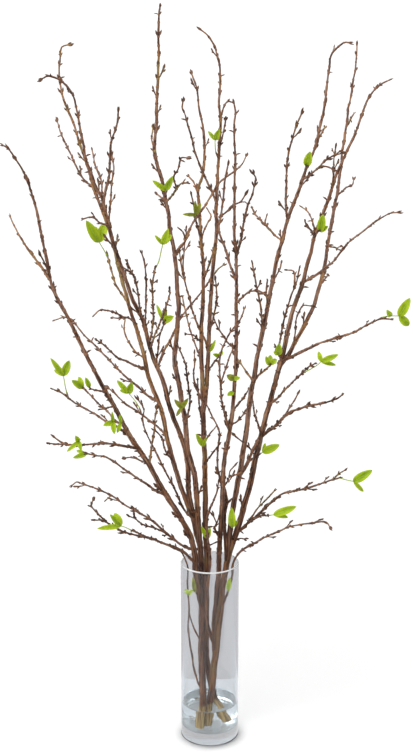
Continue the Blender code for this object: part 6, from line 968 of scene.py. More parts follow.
brown = add(tree, "ShaderNodeValToRGB", {"Fac": patch_and_tone}, [
    (0.42, "3c1e12"), (0.54, "6e3f22"), (0.64, "7d5946"), (0.74, "643d31"), (0.86, "86562c"),
    (1.0, "7f6a34")])
bud_brown = add(tree, "ShaderNodeValToRGB", {"Fac": tip},
                [(0.1, "6a4a2a"), (0.55, "57361f"), (1.0, "2d1c12")])
wet_wood = add(tree, "ShaderNodeValToRGB", {"Fac": fibre}, [(0.40, "674a22"), (0.60, "c3a86a")])
in_water = add(tree, "ShaderNodeMath", (height, WATER_LEVEL), operation="DIVIDE")
finished = painted(tree, brown, (
    (fibre, [(0.46, 0.0), (0.66, 0.60)], "b48f70", "MIX"),            # pale streaks
    (fibre, [(0.36, 0.85), (0.49, 0.0)], "1f0f08", "MIX"),            # dark furrows
    (knot, [(0.32, 0.70), (0.43, 0.0)], "1c0f08", "MIX"),             # knots
    (pores, [(0.10, 0.45), (0.20, 0.0)], "ab9270", "MIX"),            # breathing pores
    (tip, [(0.05, 0.0), (0.35, 0.55), (1.0, 0.9)], bud_brown, "MIX"),
    (height, [(0.28, 1.0), (0.55, 0.0)], "bfb0a2", "MULTIPLY"),       # painted shade, in the vase and fading out above it
    (in_water, [(0.85, 0.8), (1.0, 0.0)], wet_wood, "MIX")))
matt = add(tree, "ShaderNodeMapRange", {"Value": knot, "To Min": 0.55, "To Max": 0.82})
raised_knots = add(tree, "ShaderNodeMath", (knot, KNOT_RELIEF), operation="MULTIPLY")
relief = add(tree, "ShaderNodeMath", (fibre, raised_knots), operation="ADD")
bump = add(tree, "ShaderNodeBump",
           {"Height": relief, "Strength": 0.55, "Distance": RELIEF_DEPTH})
feed(shader, {"Base Color": finished, "Roughness": matt, "Specular IOR Level": 0.35,
              "Normal": bump})
print("bark material has", len(tree.nodes), "nodes")

# %% [markdown]
# ## Buds
#
# Buds stand at each joint of a twig like small thorns, mostly in opposite pairs. Hundreds are
# needed, so each variant is made of simple spindles of a few dozen faces, with a swollen waist
# and a hooked point. Eight variants are enough once each copy is turned and scaled: even,
# uneven and curled pairs, single buds, a low stub, a pair just opening and a small sprout that
# forks. The point of a stem ends in one fat bud with two small ones at its base, or in a fork.

# %% One bud
BUD_RING = 5
BUD_PROFILE = ((0.0, 0.55), (0.30, 0.80), (0.58, 1.0), (0.82, 0.62))


def add_walls(bm, rings):
    """Faces between each ring of corners and the next, and one that closes the first."""
    for low, high in zip(rings, rings[1:]):
        for number in range(len(low)):
            after = (number + 1) % len(low)
            bm.faces.new((low[number], low[after], high[after], high[number]))
    bm.faces.new(list(reversed(rings[0])))


def add_spindle(bm, foot, axis, length, width, hook, layers):
    """A spindle of rings that bends towards hook, closed at root and point."""
    side = axis.orthogonal().normalized()
    other = axis.cross(side)
    tip_layer, grain_layer = layers

    def corner(share, angle=None):
        middle = foot + axis * length * share + hook * length * share ** 2
        if angle is None:
            spot = middle
        else:
            spread = dict(BUD_PROFILE)[share] * width / 2
            spot = middle + (side * math.cos(angle) + other * math.sin(angle)) * spread
        vertex = bm.verts.new(spot)
        vertex[tip_layer] = share
        vertex[grain_layer] = spot
        return vertex

    rings = [[corner(share, 2 * math.pi * number / BUD_RING) for number in range(BUD_RING)]
             for share, _ in BUD_PROFILE]
    point = corner(1.0)
    add_walls(bm, rings)
    for number in range(BUD_RING):
        bm.faces.new((rings[-1][number], rings[-1][(number + 1) % BUD_RING], point))


print("one bud has", BUD_RING * len(BUD_PROFILE) + 1, "faces")

# %% Bud variants
ROOT_OFFSET = 0.2 * MM
HOOK_OUT = 0.6
UP = Vector((0, 0, 1))
PAIR_VARIANTS = {
    "bud_even": [(36, 0, 8.6, 3.0, 0.25, 0), (38, 180, 8.0, 2.9, 0.25, 0)],
    "bud_uneven": [(34, 0, 10.0, 3.0, 0.2, 0), (46, 180, 5.4, 3.0, 0.1, 0)],
    "bud_curled": [(46, 0, 9.0, 2.6, -0.35, 0), (34, 180, 6.8, 2.9, 0.2, 0)],
    "bud_lone": [(42, 0, 9.2, 3.0, 0.2, 0)],
    "bud_lone_short": [(34, 0, 6.0, 3.3, 0.2, 0)],
    "bud_stub": [(26, 0, 5.6, 3.4, 0.3, 0), (32, 180, 4.8, 3.3, 0.3, 0)],
    "bud_opening": [(28, 0, 9.6, 2.7, 0.2, 0), (54, 30, 6.4, 2.3, -0.2, 0),
                    (38, 180, 7.4, 2.9, 0.2, 0)],
    "bud_sprout": [(42, 0, 12.0, 2.2, 0.35, 0), (30, 0, 7.0, 3.2, 0.2, 9.5),
                   (58, 0, 5.6, 2.6, 0.1, 7.5), (34, 180, 6.0, 3.0, 0.2, 0)],
}
END_VARIANTS = {
    "end_single": [(4, 30, 9.4, 3.6, 0.12, 0), (32, 0, 6.8, 2.7, 0.3, 0),
                   (36, 180, 6.4, 2.7, 0.3, 0)],
    "end_forked": [(18, 0, 9.4, 3.1, 0.3, 0), (26, 180, 8.2, 3.0, 0.3, 0),
                   (8, 90, 6.0, 2.8, 0.1, 0)],
}


def smooth_mesh(name, bm):
    """Turn a bmesh into a mesh with smooth shading."""
    mesh = bpy.data.meshes.new(name)
    bm.to_mesh(mesh)
    bm.free()
    mesh.shade_smooth()
    return mesh


def bud_variant(name, spindles):
    """Spindles as (degrees from the stem, turn, length, width, curl, start on the first)."""
    bm = bmesh.new()
    layers = bm.verts.layers.float.new("tip"), bm.verts.layers.float_vector.new("grain")
    arm = None
    for spread, turn, length, width, curl, start in spindles:
        spread, turn = math.radians(spread), math.radians(turn)
        out = Vector((math.cos(turn), math.sin(turn), 0))
        axis = UP * math.cos(spread) + out * math.sin(spread)
        hook = UP * curl - out * curl * HOOK_OUT
        arm = arm or (axis, hook, length)
        foot = out * ROOT_OFFSET + (arm[0] + arm[1] * start / arm[2]) * start * MM
        add_spindle(bm, foot, axis, length * MM, width * MM, hook, layers)
    return bpy.data.objects.new(name, smooth_mesh(name, bm))


def kept_out(name, variants):
    """A collection that only the node tree uses, so nothing in it is part of the scene."""
    group = bpy.data.collections.new(name)
    for variant, spindles in variants.items():
        group.objects.link(bud_variant(variant, spindles))
    return group


pair_group = kept_out("bud_pairs", PAIR_VARIANTS)
end_group = kept_out("end_buds", END_VARIANTS)
bm = bmesh.new()
bmesh.ops.create_uvsphere(bm, u_segments=8, v_segments=5, radius=1.0)
collar = bpy.data.objects.new("bud_collar", smooth_mesh("bud_collar", bm))

# %% [markdown]
# ## The node tree that grows bark and buds
#
# Bark follows a path and buds repeat along it, which is work for Geometry Nodes. The input is
# a mesh of bare lines, one for each stem, laid out from the point back to the root. The first
# half of the tree skins each line with a circle as wide as its thickness attribute, and
# roughens the skin with a fine and a broad noise. The push is held to what suits a thin
# shoot, so that thick stems don't grow lumps.

# %% Begin the tree: named sizes, attributes and chance
SPACING = 20 * MM
RIM_HEIGHT = 330 * MM
SEED = 7
SIZES = {"Bud spacing": SPACING, "Thickest budded": 3.0 * MM, "Thickest with spurs": 5.2 * MM,
         "Lowest bud": RIM_HEIGHT, "Roughness of bark": 0.22, "Jitter": 6 * MM}

stem_tree = tree = bpy.data.node_groups.new("bark_and_buds", "GeometryNodeTree")
tree.interface.new_socket("Geometry", in_out="INPUT", socket_type="NodeSocketGeometry")
stem_inputs = {}
for label, value in SIZES.items():
    socket = tree.interface.new_socket(label, in_out="INPUT", socket_type="NodeSocketFloat")
    socket.default_value = value
    stem_inputs[label] = socket.identifier
tree.interface.new_socket("Geometry", in_out="OUTPUT", socket_type="NodeSocketGeometry")

given = add(tree, "NodeGroupInput").outputs
thick, reach, bare, along, round_stem = (
    add(tree, "GeometryNodeInputNamedAttribute", {"Name": name}, data_type=kind)
    for name, kind in (("thickness", "FLOAT"), ("reach", "FLOAT"), ("bare", "FLOAT"),
                       ("along", "FLOAT"), ("ring", "FLOAT_VECTOR")))
slide, turn, size, pair_pick, end_pick, luck = (
    add(tree, "FunctionNodeRandomValue", {2: low, 3: high, "Seed": seed}, data_type="FLOAT")
    for low, high, seed in (
        (-1.0, 1.0, SEED), (-0.5, 0.5, SEED + 1), (0.66, 1.18, SEED + 2),
        (0.0, len(PAIR_VARIANTS) - 0.001, SEED + 3), (0.0, len(END_VARIANTS) - 0.001, SEED + 4),
        (0.0, 1.0, SEED + 5)))
spot = add(tree, "GeometryNodeInputPosition")
print("the tree's inputs are", list(stem_inputs))

# %% Skin the lines with rough bark
SKIN_SIDES = 9
FINE_LUMPS_PER_M = 190.0
BROAD_LUMPS_PER_M = 75.0
LUMP_MIDDLE = 0.95
LUMP_GAIN = 4.0
PUSH_LIKE_RADIUS = 1.9 * MM

lines = add(tree, "GeometryNodeMeshToCurve", {"Mesh": given["Geometry"]})
lines = add(tree, "GeometryNodeSetCurveRadius", {"Curve": lines, "Radius": thick})
run = add(tree, "GeometryNodeSplineParameter").outputs["Length"]
measured = add(tree, "GeometryNodeStoreNamedAttribute",
               {"Geometry": lines, "Name": "along", "Value": run},
               data_type="FLOAT", domain="POINT")
circle = add(tree, "GeometryNodeCurvePrimitiveCircle", {"Resolution": SKIN_SIDES, "Radius": 1.0})
hoop = add(tree, "GeometryNodeStoreNamedAttribute",
           {"Geometry": circle, "Name": "ring", "Value": spot},
           data_type="FLOAT_VECTOR", domain="POINT")
skin = add(tree, "GeometryNodeCurveToMesh",
           {"Curve": measured, "Profile Curve": hoop, "Fill Caps": True, "Scale": thick})
across = add(tree, "ShaderNodeVectorMath", {0: round_stem, "Scale": thick}, operation="SCALE")
onward = add(tree, "ShaderNodeCombineXYZ", {"Z": along})
grain = add(tree, "ShaderNodeVectorMath", (across, onward), operation="ADD")
skinned = add(tree, "GeometryNodeStoreNamedAttribute",
              {"Geometry": skin, "Name": "grain", "Value": grain},
              data_type="FLOAT_VECTOR", domain="POINT")
fine, broad = (
    add(tree, "ShaderNodeTexNoise", {"Vector": spot, "Scale": scale, "Detail": detail})
    for scale, detail in ((FINE_LUMPS_PER_M, 2.0), (BROAD_LUMPS_PER_M, 1.0)))
gain = add(tree, "ShaderNodeMath", (given["Roughness of bark"], LUMP_GAIN),
           operation="MULTIPLY")
held = add(tree, "ShaderNodeMath", (thick, PUSH_LIKE_RADIUS), operation="MINIMUM")
lump = fine
for operation, other in (("ADD", broad), ("SUBTRACT", LUMP_MIDDLE), ("MULTIPLY", gain),
                         ("MULTIPLY", held)):
    lump = add(tree, "ShaderNodeMath", (lump, other), operation=operation)
outward = add(tree, "GeometryNodeInputNormal")
push = add(tree, "ShaderNodeVectorMath", {0: outward, "Scale": lump}, operation="SCALE")
rough_bark = add(tree, "GeometryNodeSetPosition", {"Geometry": skinned, "Offset": push})
print("bark half of the tree has", len(tree.nodes), "nodes")

# %% [markdown]
# ## Where buds stand
#
# The other half walks each line again at an even spacing from the point, so that the first
# step is always the end bud. Each step slides, turns and scales a little by chance, and each
# is turned a quarter from the last, as real opposite buds are. A small table of tests decides
# what may stand there: nothing on leaf spurs or inside the vase, a bud at every step of a thin
# twig, and one at about a third of the steps of a thicker shoot.

# %% Steps along the stems
QUARTER_TURN = math.pi / 2
SIZE_AT_NOTHING = 0.86
SIZE_PER_M = 160.0

steps = add(tree, "GeometryNodeCurveToPoints",
            {"Curve": lines, "Length": given["Bud spacing"]}, mode="LENGTH")
heading = steps.outputs["Tangent"]
at_end = add(tree, "FunctionNodeCompare", {"A": reach, "B": 0.5 * MM},
             data_type="FLOAT", operation="LESS_THAN")
slid = add(tree, "ShaderNodeMath", (slide, given["Jitter"]), operation="MULTIPLY")
slid = add(tree, "GeometryNodeSwitch", {"Switch": at_end, "False": slid, "True": 0.0},
           input_type="FLOAT")
moved = add(tree, "ShaderNodeVectorMath", {0: heading, "Scale": slid}, operation="SCALE")
places = add(tree, "GeometryNodeSetPosition", {"Geometry": steps, "Offset": moved})
to_point = add(tree, "ShaderNodeVectorMath", {0: heading, "Scale": -1.0}, operation="SCALE")
upright = add(tree, "FunctionNodeAlignRotationToVector", {"Vector": to_point}, axis="Z")
quarters = add(tree, "ShaderNodeMath", {0: add(tree, "GeometryNodeInputIndex"),
                                        1: QUARTER_TURN}, operation="MULTIPLY")
angle = add(tree, "ShaderNodeMath", (quarters, turn), operation="ADD")
spin = add(tree, "FunctionNodeAxisAngleToRotation", {"Axis": (0, 0, 1), "Angle": angle})
facing = add(tree, "FunctionNodeRotateRotation", {"Rotation": upright, "Rotate By": spin},
             rotation_space="LOCAL")
by_stem = add(tree, "ShaderNodeMath", (thick, SIZE_PER_M), operation="MULTIPLY")
by_stem = add(tree, "ShaderNodeMath", (SIZE_AT_NOTHING, by_stem), operation="ADD")
size = add(tree, "ShaderNodeMath", (size, by_stem), operation="MULTIPLY")
bud_scale = add(tree, "ShaderNodeCombineXYZ", {"X": size, "Y": size, "Z": size})
print("steps lie", round(SPACING / MM), "mm apart unless a branch asks for less")

# %% Which steps bear buds
SPUR_CHANCE = 0.34

tests = {"at_end": at_end}
for name, reading, operation, limit in (
        ("not_a_spur", bare, "LESS_THAN", 0.5),
        ("thin", thick, "LESS_THAN", given["Thickest budded"]),
        ("middling", thick, "LESS_THAN", given["Thickest with spurs"]),
        ("chosen", luck, "LESS_THAN", SPUR_CHANCE),
        ("above_vase", add(tree, "ShaderNodeSeparateXYZ", {"Vector": spot}).outputs["Z"],
         "GREATER_THAN", given["Lowest bud"])):
    tests[name] = add(tree, "FunctionNodeCompare", {"A": reading, "B": limit},
                      data_type="FLOAT", operation=operation)
for name, first, operation, second in (
        ("some_spurs", "middling", "AND", "chosen"),
        ("may_bud", "thin", "OR", "some_spurs"),
        ("young", "not_a_spur", "AND", "may_bud"),
        ("budded", "young", "AND", "above_vase"),
        ("pairs", "budded", "NIMPLY", "at_end"),
        ("ends", "budded", "AND", "at_end")):
    tests[name] = add(tree, "FunctionNodeBooleanMath", (tests[first], tests[second]),
                      operation=operation)
print("bud tests:", list(tests))

# %% Put buds and their swollen joints on the steps
COLLAR_PROUD = 0.8 * MM
COLLAR_SHARE = 0.5
COLLAR_TALL = 1.2
COLLAR_LEAST = 1.0 * MM

grown = [rough_bark]
for group, test, pick in ((pair_group, "pairs", pair_pick), (end_group, "ends", end_pick)):
    choices = add(tree, "GeometryNodeCollectionInfo",
                  {"Collection": group, "Separate Children": True, "Reset Children": True})
    number = add(tree, "FunctionNodeFloatToInt", {"Float": pick}, rounding_mode="FLOOR")
    grown.append(add(tree, "GeometryNodeInstanceOnPoints",
                     {"Points": places, "Selection": tests[test], "Instance": choices,
                      "Pick Instance": True, "Instance Index": number, "Rotation": facing,
                      "Scale": bud_scale}))
proud = add(tree, "ShaderNodeMath", (thick, COLLAR_SHARE), operation="MULTIPLY")
proud = add(tree, "ShaderNodeMath", (COLLAR_PROUD, proud), operation="MINIMUM")
wide = add(tree, "ShaderNodeMath", (thick, proud), operation="ADD")
tall = add(tree, "ShaderNodeMath", (thick, COLLAR_TALL), operation="MULTIPLY")
tall = add(tree, "ShaderNodeMath", (tall, COLLAR_LEAST), operation="ADD")
collar_scale = add(tree, "ShaderNodeCombineXYZ", {"X": wide, "Y": wide, "Z": tall})
collar_shape = add(tree, "GeometryNodeObjectInfo", {"Object": collar}).outputs["Geometry"]
grown.append(add(tree, "GeometryNodeInstanceOnPoints",
                 {"Points": places, "Selection": tests["pairs"], "Instance": collar_shape,
                  "Rotation": facing, "Scale": collar_scale}))
joined = add(tree, "GeometryNodeJoinGeometry")
for part in reversed(grown):
    feed(joined, {"Geometry": part})
solid = add(tree, "GeometryNodeRealizeInstances", {"Geometry": joined})
coated = add(tree, "GeometryNodeSetMaterial", {"Geometry": solid, "Material": bark})
add(tree, "NodeGroupOutput", {"Geometry": coated})
print("bark_and_buds has", len(tree.nodes), "nodes")

# %% [markdown]
# ## Grow the three branches
#
# Each branch's lines carry what the tree asks for on every point: thickness, the distance from
# the point of the stem, the stem's own tone, and whether it is a bare leaf spur. The result is
# baked to a plain mesh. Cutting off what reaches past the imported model's box would flatten the
# outermost buds, so the last two centimetres before that side are squeezed a little instead.
# Only the feet are cut flat, where they stand on the glass.

# %% Lines with attributes, and how they are baked
def line_mesh(name, stems, rng):
    """Bare lines from each stem's point back to its root, with the tree's attributes."""
    vertices, edges = [], []
    values = {"thickness": [], "reach": [], "tone": [], "bare": []}
    for stem_name, stem in stems.items():
        tone = rng.random()
        start = len(vertices)
        for point, radius, length in reversed(list(zip(stem["line"], stem["radii"],
                                                       stem["lengths"]))):
            vertices.append(point)
            values["thickness"].append(radius)
            values["reach"].append(stem["lengths"][-1] - length)
            values["tone"].append(tone)
            values["bare"].append(float(stem_name.endswith("spur")))
        edges += [(index, index + 1) for index in range(start, len(vertices) - 1)]
    mesh = bpy.data.meshes.new(name)
    mesh.from_pydata([tuple(vertex) for vertex in vertices], edges, [])
    for label, numbers in values.items():
        layer = mesh.attributes.new(label, "FLOAT", "POINT")
        layer.data.foreach_set("value", numbers)
    return mesh


def baked(name, mesh, tree, settings):
    """Run a node tree on a mesh and keep the result as a plain mesh object."""
    source = bpy.data.objects.new(name + "_lines", mesh)
    studio.collection.objects.link(source)
    modifier = source.modifiers.new("grow", "NODES")
    modifier.node_group = tree
    for identifier, value in settings.items():
        modifier[identifier] = value
    evaluated = source.evaluated_get(bpy.context.evaluated_depsgraph_get())
    result = bpy.data.meshes.new_from_object(evaluated)
    bpy.data.objects.remove(source)
    result.name = name
    thing = bpy.data.objects.new(name, result)
    studio.collection.objects.link(thing)
    return thing


print("each line carries thickness, reach, tone and bare")

# %% Keep to the imported box, and hang each piece under the root
EASE_BAND = 20 * MM


def keep_in_box(thing, floor_level=None):
    """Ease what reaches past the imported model's box back in, without flattening any bud."""
    eased = []
    for axis, letter in enumerate("xyz"):
        for side, edge in ((-1, CAD_BOX[0][axis]), (1, CAD_BOX[1][axis])):
            past = max(side * (vertex.co[axis] - edge) for vertex in thing.data.vertices)
            cut_later = floor_level is not None and letter == "z" and side < 0
            if past <= 0 or cut_later:
                continue
            eased.append((letter, round(past / MM, 1)))
            for vertex in thing.data.vertices:
                into = side * (vertex.co[axis] - edge) + EASE_BAND
                if into > 0:
                    vertex.co[axis] = edge + side * (into * EASE_BAND / (EASE_BAND + past)
                                                     - EASE_BAND)
    if floor_level is not None:
        for vertex in thing.data.vertices:
            vertex.co.z = max(vertex.co.z, floor_level)
    return eased


def hand_over(piece, slot, *nodes):
    """Hang the piece under the root body and hide the imported parts that it stands for; the slot
    is not used.
    """
    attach(piece, "root")
    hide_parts(*nodes)


print("pieces are eased over the last", round(EASE_BAND / MM), "mm before the box")

# %% Branches
FOOT_LEVEL = 20.3 * MM
SPACING_BY_BRANCH = {"left_branch": 15 * MM, "centre_branch": 16 * MM, "right_branch": 15 * MM}

rng = random.Random(SEED)
for name, stems in layouts.items():
    mesh = line_mesh(name, stems, rng)
    piece = baked("bark_" + name, mesh, stem_tree,
                  {stem_inputs["Bud spacing"]: SPACING_BY_BRANCH[name]})
    piece.data.shade_smooth()
    eased = keep_in_box(piece, FOOT_LEVEL)
    hand_over(piece, "bark", name)
    triangles = sum(len(face.vertices) - 2 for face in piece.data.polygons)
    print(piece.name, triangles, "triangles, eased in by (mm):", eased)

# %% [markdown]
# ## Leaf surface
#
# The leaves have only just opened: thin, soft, bright yellow-green, with a paler midrib and
# side veins that run slantwise towards the point. Light shines through them a little. Some are
# older and olive. Every blade carries its own coordinates, from its foot to its point and from
# its midrib to its margin, so the veins follow its shape however it is bent. The blotches read
# Object coordinates, because no two blades should share them.

# %% Young leaf: satin, thin enough to glow, veined
VEIN_PAIRS = 6.0
VEIN_SLANT = 0.30
BLOTCH_MM = (7.0, 7.0, 7.0)

leaf, tree, shader = new_material("young_leaf_blade")
blade, olive, tone = (
    add(tree, "ShaderNodeAttribute", attribute_name=name).outputs[output]
    for name, output in (("blade", "Vector"), ("olive", "Fac"), ("tone", "Fac")))
on_blade = add(tree, "ShaderNodeSeparateXYZ", {"Vector": blade}).outputs
place = add(tree, "ShaderNodeTexCoord").outputs["Object"]
blotch = pattern(tree, place, BLOTCH_MM, 3.0)
edgeward = add(tree, "ShaderNodeMath", (on_blade["Y"],), operation="ABSOLUTE")
slant = add(tree, "ShaderNodeMath", (edgeward, VEIN_SLANT), operation="MULTIPLY")
slanted = add(tree, "ShaderNodeMath", (on_blade["X"], slant), operation="SUBTRACT")
counted = add(tree, "ShaderNodeMath", (slanted, VEIN_PAIRS), operation="MULTIPLY")
from_vein = add(tree, "ShaderNodeMath", (counted, 0.5), operation="PINGPONG")
margin, mottle, own = (
    add(tree, "ShaderNodeMath", (source, weight), operation="MULTIPLY")
    for source, weight in ((edgeward, 0.45), (blotch, 0.55), (tone, 0.25)))
mottled = add(tree, "ShaderNodeMath", (mottle, own), operation="ADD")
shade = add(tree, "ShaderNodeMath", (margin, mottled), operation="ADD")
green = add(tree, "ShaderNodeValToRGB", {"Fac": shade}, [
    (0.25, "5f7a08"), (0.50, "86a010"), (0.80, "9db21c"), (1.0, "adbe2e")])
old_green = add(tree, "ShaderNodeValToRGB", {"Fac": blotch},
                [(0.35, "5f5c1f"), (0.65, "868334")])
finished = painted(tree, green, (
    (from_vein, [(0.0, 0.35), (0.10, 0.0)], "a6ba48", "MIX"),         # side veins
    (edgeward, [(0.0, 0.6), (0.10, 0.0)], "b0c358", "MIX"),           # midrib
    (olive, [(0.0, 0.0), (1.0, 0.8)], old_green, "MIX")))
veins, midrib = (
    add(tree, "ShaderNodeValToRGB", {"Fac": source}, [(0.0, rise), (0.10, 0.0)])
    for source, rise in ((from_vein, 0.5), (edgeward, 1.0)))
ridge = add(tree, "ShaderNodeMath", (midrib, veins), operation="ADD")
bump = add(tree, "ShaderNodeBump", {"Height": ridge, "Strength": 0.5, "Distance": 0.3 * MM})
feed(shader, {"Base Color": finished, "Roughness": 0.55, "Specular IOR Level": 0.15,
              "Subsurface Weight": 0.2, "Subsurface Radius": (0.9, 1.0, 0.25),
              "Subsurface Scale": 1.5 * MM, "Normal": bump})
print("leaf material has", len(tree.nodes), "nodes")

# %% [markdown]
# ## Leaf sprigs
#
# Each sprig is one piece: a green stalk that comes out of its twig, and one to three blades.
# A blade could be a flat cut-out, but a real one is folded along its midrib, bowed along its
# length and slightly waved at its margin, and those bends catch the light. The fold, bow and
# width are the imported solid's, on a finer grid, and the outline is rounder near the foot and
# drawn out to a point. Every blade is a closed thin body with its own thickness.

# %% Green stalk
STALK_SIDES = 8
STALK_PLACE = (0.5, 0.5, 0)
STALK_TONE = 0.2


def add_tube(bm, points, radii, blade_layer, tone_layer):
    """A closed stalk along the points, coloured like the middle of half a blade."""
    side = (points[1] - points[0]).orthogonal().normalized()
    rings = []
    for index, point in enumerate(points):
        after = points[min(len(points) - 1, index + 1)]
        before = points[max(0, index - 1)]
        heading = (after - before).normalized()
        side = (side - heading * side.dot(heading)).normalized()
        other = heading.cross(side)
        ring = []
        for number in range(STALK_SIDES):
            angle = 2 * math.pi * number / STALK_SIDES
            vertex = bm.verts.new(point + (side * math.cos(angle) + other * math.sin(angle))
                                  * radii[index])
            vertex[blade_layer] = STALK_PLACE
            vertex[tone_layer] = STALK_TONE
            ring.append(vertex)
        rings.append(ring)
    add_walls(bm, rings)
    bm.faces.new(rings[-1])


print("stalks have", STALK_SIDES, "sides")

# %% Folded blade
BLADE_ROWS = 14
BLADE_COLUMNS = 8
BLADE_THICKNESS = 0.45 * MM
BLADE_FOLD = 0.42
BLADE_BOW = 0.09
FOLD_CURVE = 1.25
MARGIN_THINNING = 0.6
FIRST_SHARE = 0.015
LEAST_HALF_WIDTH = 0.25 * MM
WAVES = 9
WAVE_SHIFT = 2
WAVE_HEIGHT = 0.05
OUTLINE_FOOT = 0.52
OUTLINE_POINT = 0.66


def outline(share):
    """Half the width of a blade, from 0 to 1, at a share of its length."""
    widest = OUTLINE_FOOT / (OUTLINE_FOOT + OUTLINE_POINT)
    peak = widest ** OUTLINE_FOOT * (1 - widest) ** OUTLINE_POINT
    return share ** OUTLINE_FOOT * (1 - share) ** OUTLINE_POINT / peak


def add_blade(bm, foot, point, width, facing, tone, olive, wave, layers):
    """A folded, bowed and waved blade with a thickness, closed all round."""
    heading = (point - foot).normalized()
    across = heading.cross(facing).normalized()
    normal = across.cross(heading).normalized()
    length = (point - foot).length
    top, under = grids = ([], [])
    for row in range(BLADE_ROWS + 1):
        share = FIRST_SHARE + (1 - FIRST_SHARE) * row / BLADE_ROWS
        half_width = max(outline(share) * width / 2, LEAST_HALF_WIDTH)
        middle = foot.lerp(point, row / BLADE_ROWS) + normal * length * BLADE_BOW * math.sin(
            math.pi * share)
        for grid in grids:
            grid.append([])
        for column in range(BLADE_COLUMNS + 1):
            place = 2 * column / BLADE_COLUMNS - 1
            fold = abs(place) ** FOLD_CURVE * BLADE_FOLD * half_width
            ripple = math.sin(share * WAVES + wave
                              + (WAVE_SHIFT if place > 0 else 0)) * place ** 2
            spot = (middle + across * half_width * place
                    + normal * (fold + ripple * WAVE_HEIGHT * width))
            for grid, lift in ((top, 0.5), (under, -0.5)):
                vertex = bm.verts.new(spot + normal * BLADE_THICKNESS * lift
                                      * (1 - MARGIN_THINNING * abs(place)))
                for layer, value in zip(layers, ((share, place, 0), tone, olive)):
                    vertex[layer] = value
                grid[row].append(vertex)
    for row in range(BLADE_ROWS):
        for column in range(BLADE_COLUMNS):
            for grid in grids:
                bm.faces.new((grid[row][column], grid[row][column + 1],
                              grid[row + 1][column + 1], grid[row + 1][column]))
        for edge in (0, BLADE_COLUMNS):
            bm.faces.new((top[row][edge], top[row + 1][edge],
                          under[row + 1][edge], under[row][edge]))
    for row in (0, BLADE_ROWS):
        for column in range(BLADE_COLUMNS):
            bm.faces.new((top[row][column], top[row][column + 1],
                          under[row][column + 1], under[row][column]))


print("a blade is widest at", round(OUTLINE_FOOT / (OUTLINE_FOOT + OUTLINE_POINT), 2),
      "of its length")

# %% Sprigs
STALK_RADIUS = 0.85 * MM
STALK_ROOT = 1.2 * MM
STALK_STEP = 1.5 * MM
STALK_THICK_AT_FOOT = 1.15
STALK_TAPER = 0.35
OLIVE_BLADES = {4: (0, 1, 2), 5: (1,), 14: (0, 1, 2), 17: (0,), 29: (0,)}

rng = random.Random(SEED + 10)
for number, (branch, twig, stalk, blades) in enumerate(SPRIGS, start=1):
    node = f"leaf_sprig_{number:02d}"
    bm = bmesh.new()
    layers = (bm.verts.layers.float_vector.new("blade"), bm.verts.layers.float.new("tone"),
              bm.verts.layers.float.new("olive"))
    line = layouts[branch][twig]["line"]
    onward = (line[-1] - line[-2]).normalized()
    bends = [line[-1] - onward * STALK_ROOT, line[-1] + onward * STALK_ROOT]
    bends += [sight_point(point) for point in stalk]
    stem = curve_through(bends, STALK_STEP)
    radii = [STALK_RADIUS * (STALK_THICK_AT_FOOT - STALK_TAPER * index / len(stem))
             for index in range(len(stem))]
    add_tube(bm, stem, radii, *layers[:2])
    for index, (base, tip, width, base_depth, tip_depth) in enumerate(blades):
        foot = sight_point((*base, base_depth))
        point = sight_point((*tip, tip_depth))
        facing = (EYE - foot).normalized()
        holder = min(bends[2:], key=lambda bend: (bend - foot).length)
        add_blade(bm, holder, point, width * CM, facing, rng.random(),
                  float(index in OLIVE_BLADES.get(number, ())), rng.uniform(0, 6), layers)
    bmesh.ops.recalc_face_normals(bm, faces=bm.faces)
    mesh = smooth_mesh("leaves_" + node, bm)
    mesh.materials.append(leaf)
    piece = bpy.data.objects.new("leaves_" + node, mesh)
    studio.collection.objects.link(piece)
    keep_in_box(piece)
    hand_over(piece, "leaf", node)
print(len(SPRIGS), "sprigs, the last with", len(piece.data.polygons), "faces")

# %% [markdown]
# ## Turned bodies
#
# A vase is turned on an axis, so a profile spun round +Z gives it exactly. A long straight run
# of the profile gets a guard point just inside each end. Without them, smooth shading would
# bend the light along the whole wall, as if it bulged.

# %% Spin a profile
TURNED_SIDES = 160
GUARD = 0.4 * MM
LONG_RUN = 8 * GUARD
SHARP_DEG = 40


def arc(middle_x, middle_z, radius, start_deg, end_deg, steps):
    """Points of a rounded corner of a profile."""
    angles = [math.radians(start_deg + (end_deg - start_deg) * step / steps)
              for step in range(steps + 1)]
    return [(middle_x + radius * math.cos(a), middle_z + radius * math.sin(a)) for a in angles]


def guarded(profile):
    """Add a point just inside each end of a long straight run, so its shading stays straight."""
    points = [Vector(profile[0])]
    for start, end in zip(map(Vector, profile), map(Vector, profile[1:])):
        run = end - start
        if run.length > LONG_RUN:
            points += [start + run.normalized() * GUARD, end - run.normalized() * GUARD]
        points.append(end)
    return [tuple(point) for point in points]


def turned(name, profile, material):
    """Spin an open profile from axis to axis into a closed body."""
    vertices, rings, faces = [], [], []
    for radius, height in guarded(profile):
        places = circle_of(radius, height, TURNED_SIDES) if radius else [(0, 0, height)]
        rings.append(range(len(vertices), len(vertices) + len(places)))
        vertices += places
    for low, high in zip(rings, rings[1:]):
        for side in range(TURNED_SIDES):
            after = (side + 1) % TURNED_SIDES
            if len(low) == 1:
                faces.append((low[0], high[after], high[side]))
            elif len(high) == 1:
                faces.append((low[side], low[after], high[0]))
            else:
                faces.append((low[side], low[after], high[after], high[side]))
    piece = link_mesh(name, vertices, faces)
    piece.data.shade_smooth()
    piece.data.set_sharp_from_angle(angle=math.radians(SHARP_DEG))
    piece.data.materials.append(material)
    return piece


print("turned bodies have", TURNED_SIDES, "sides")

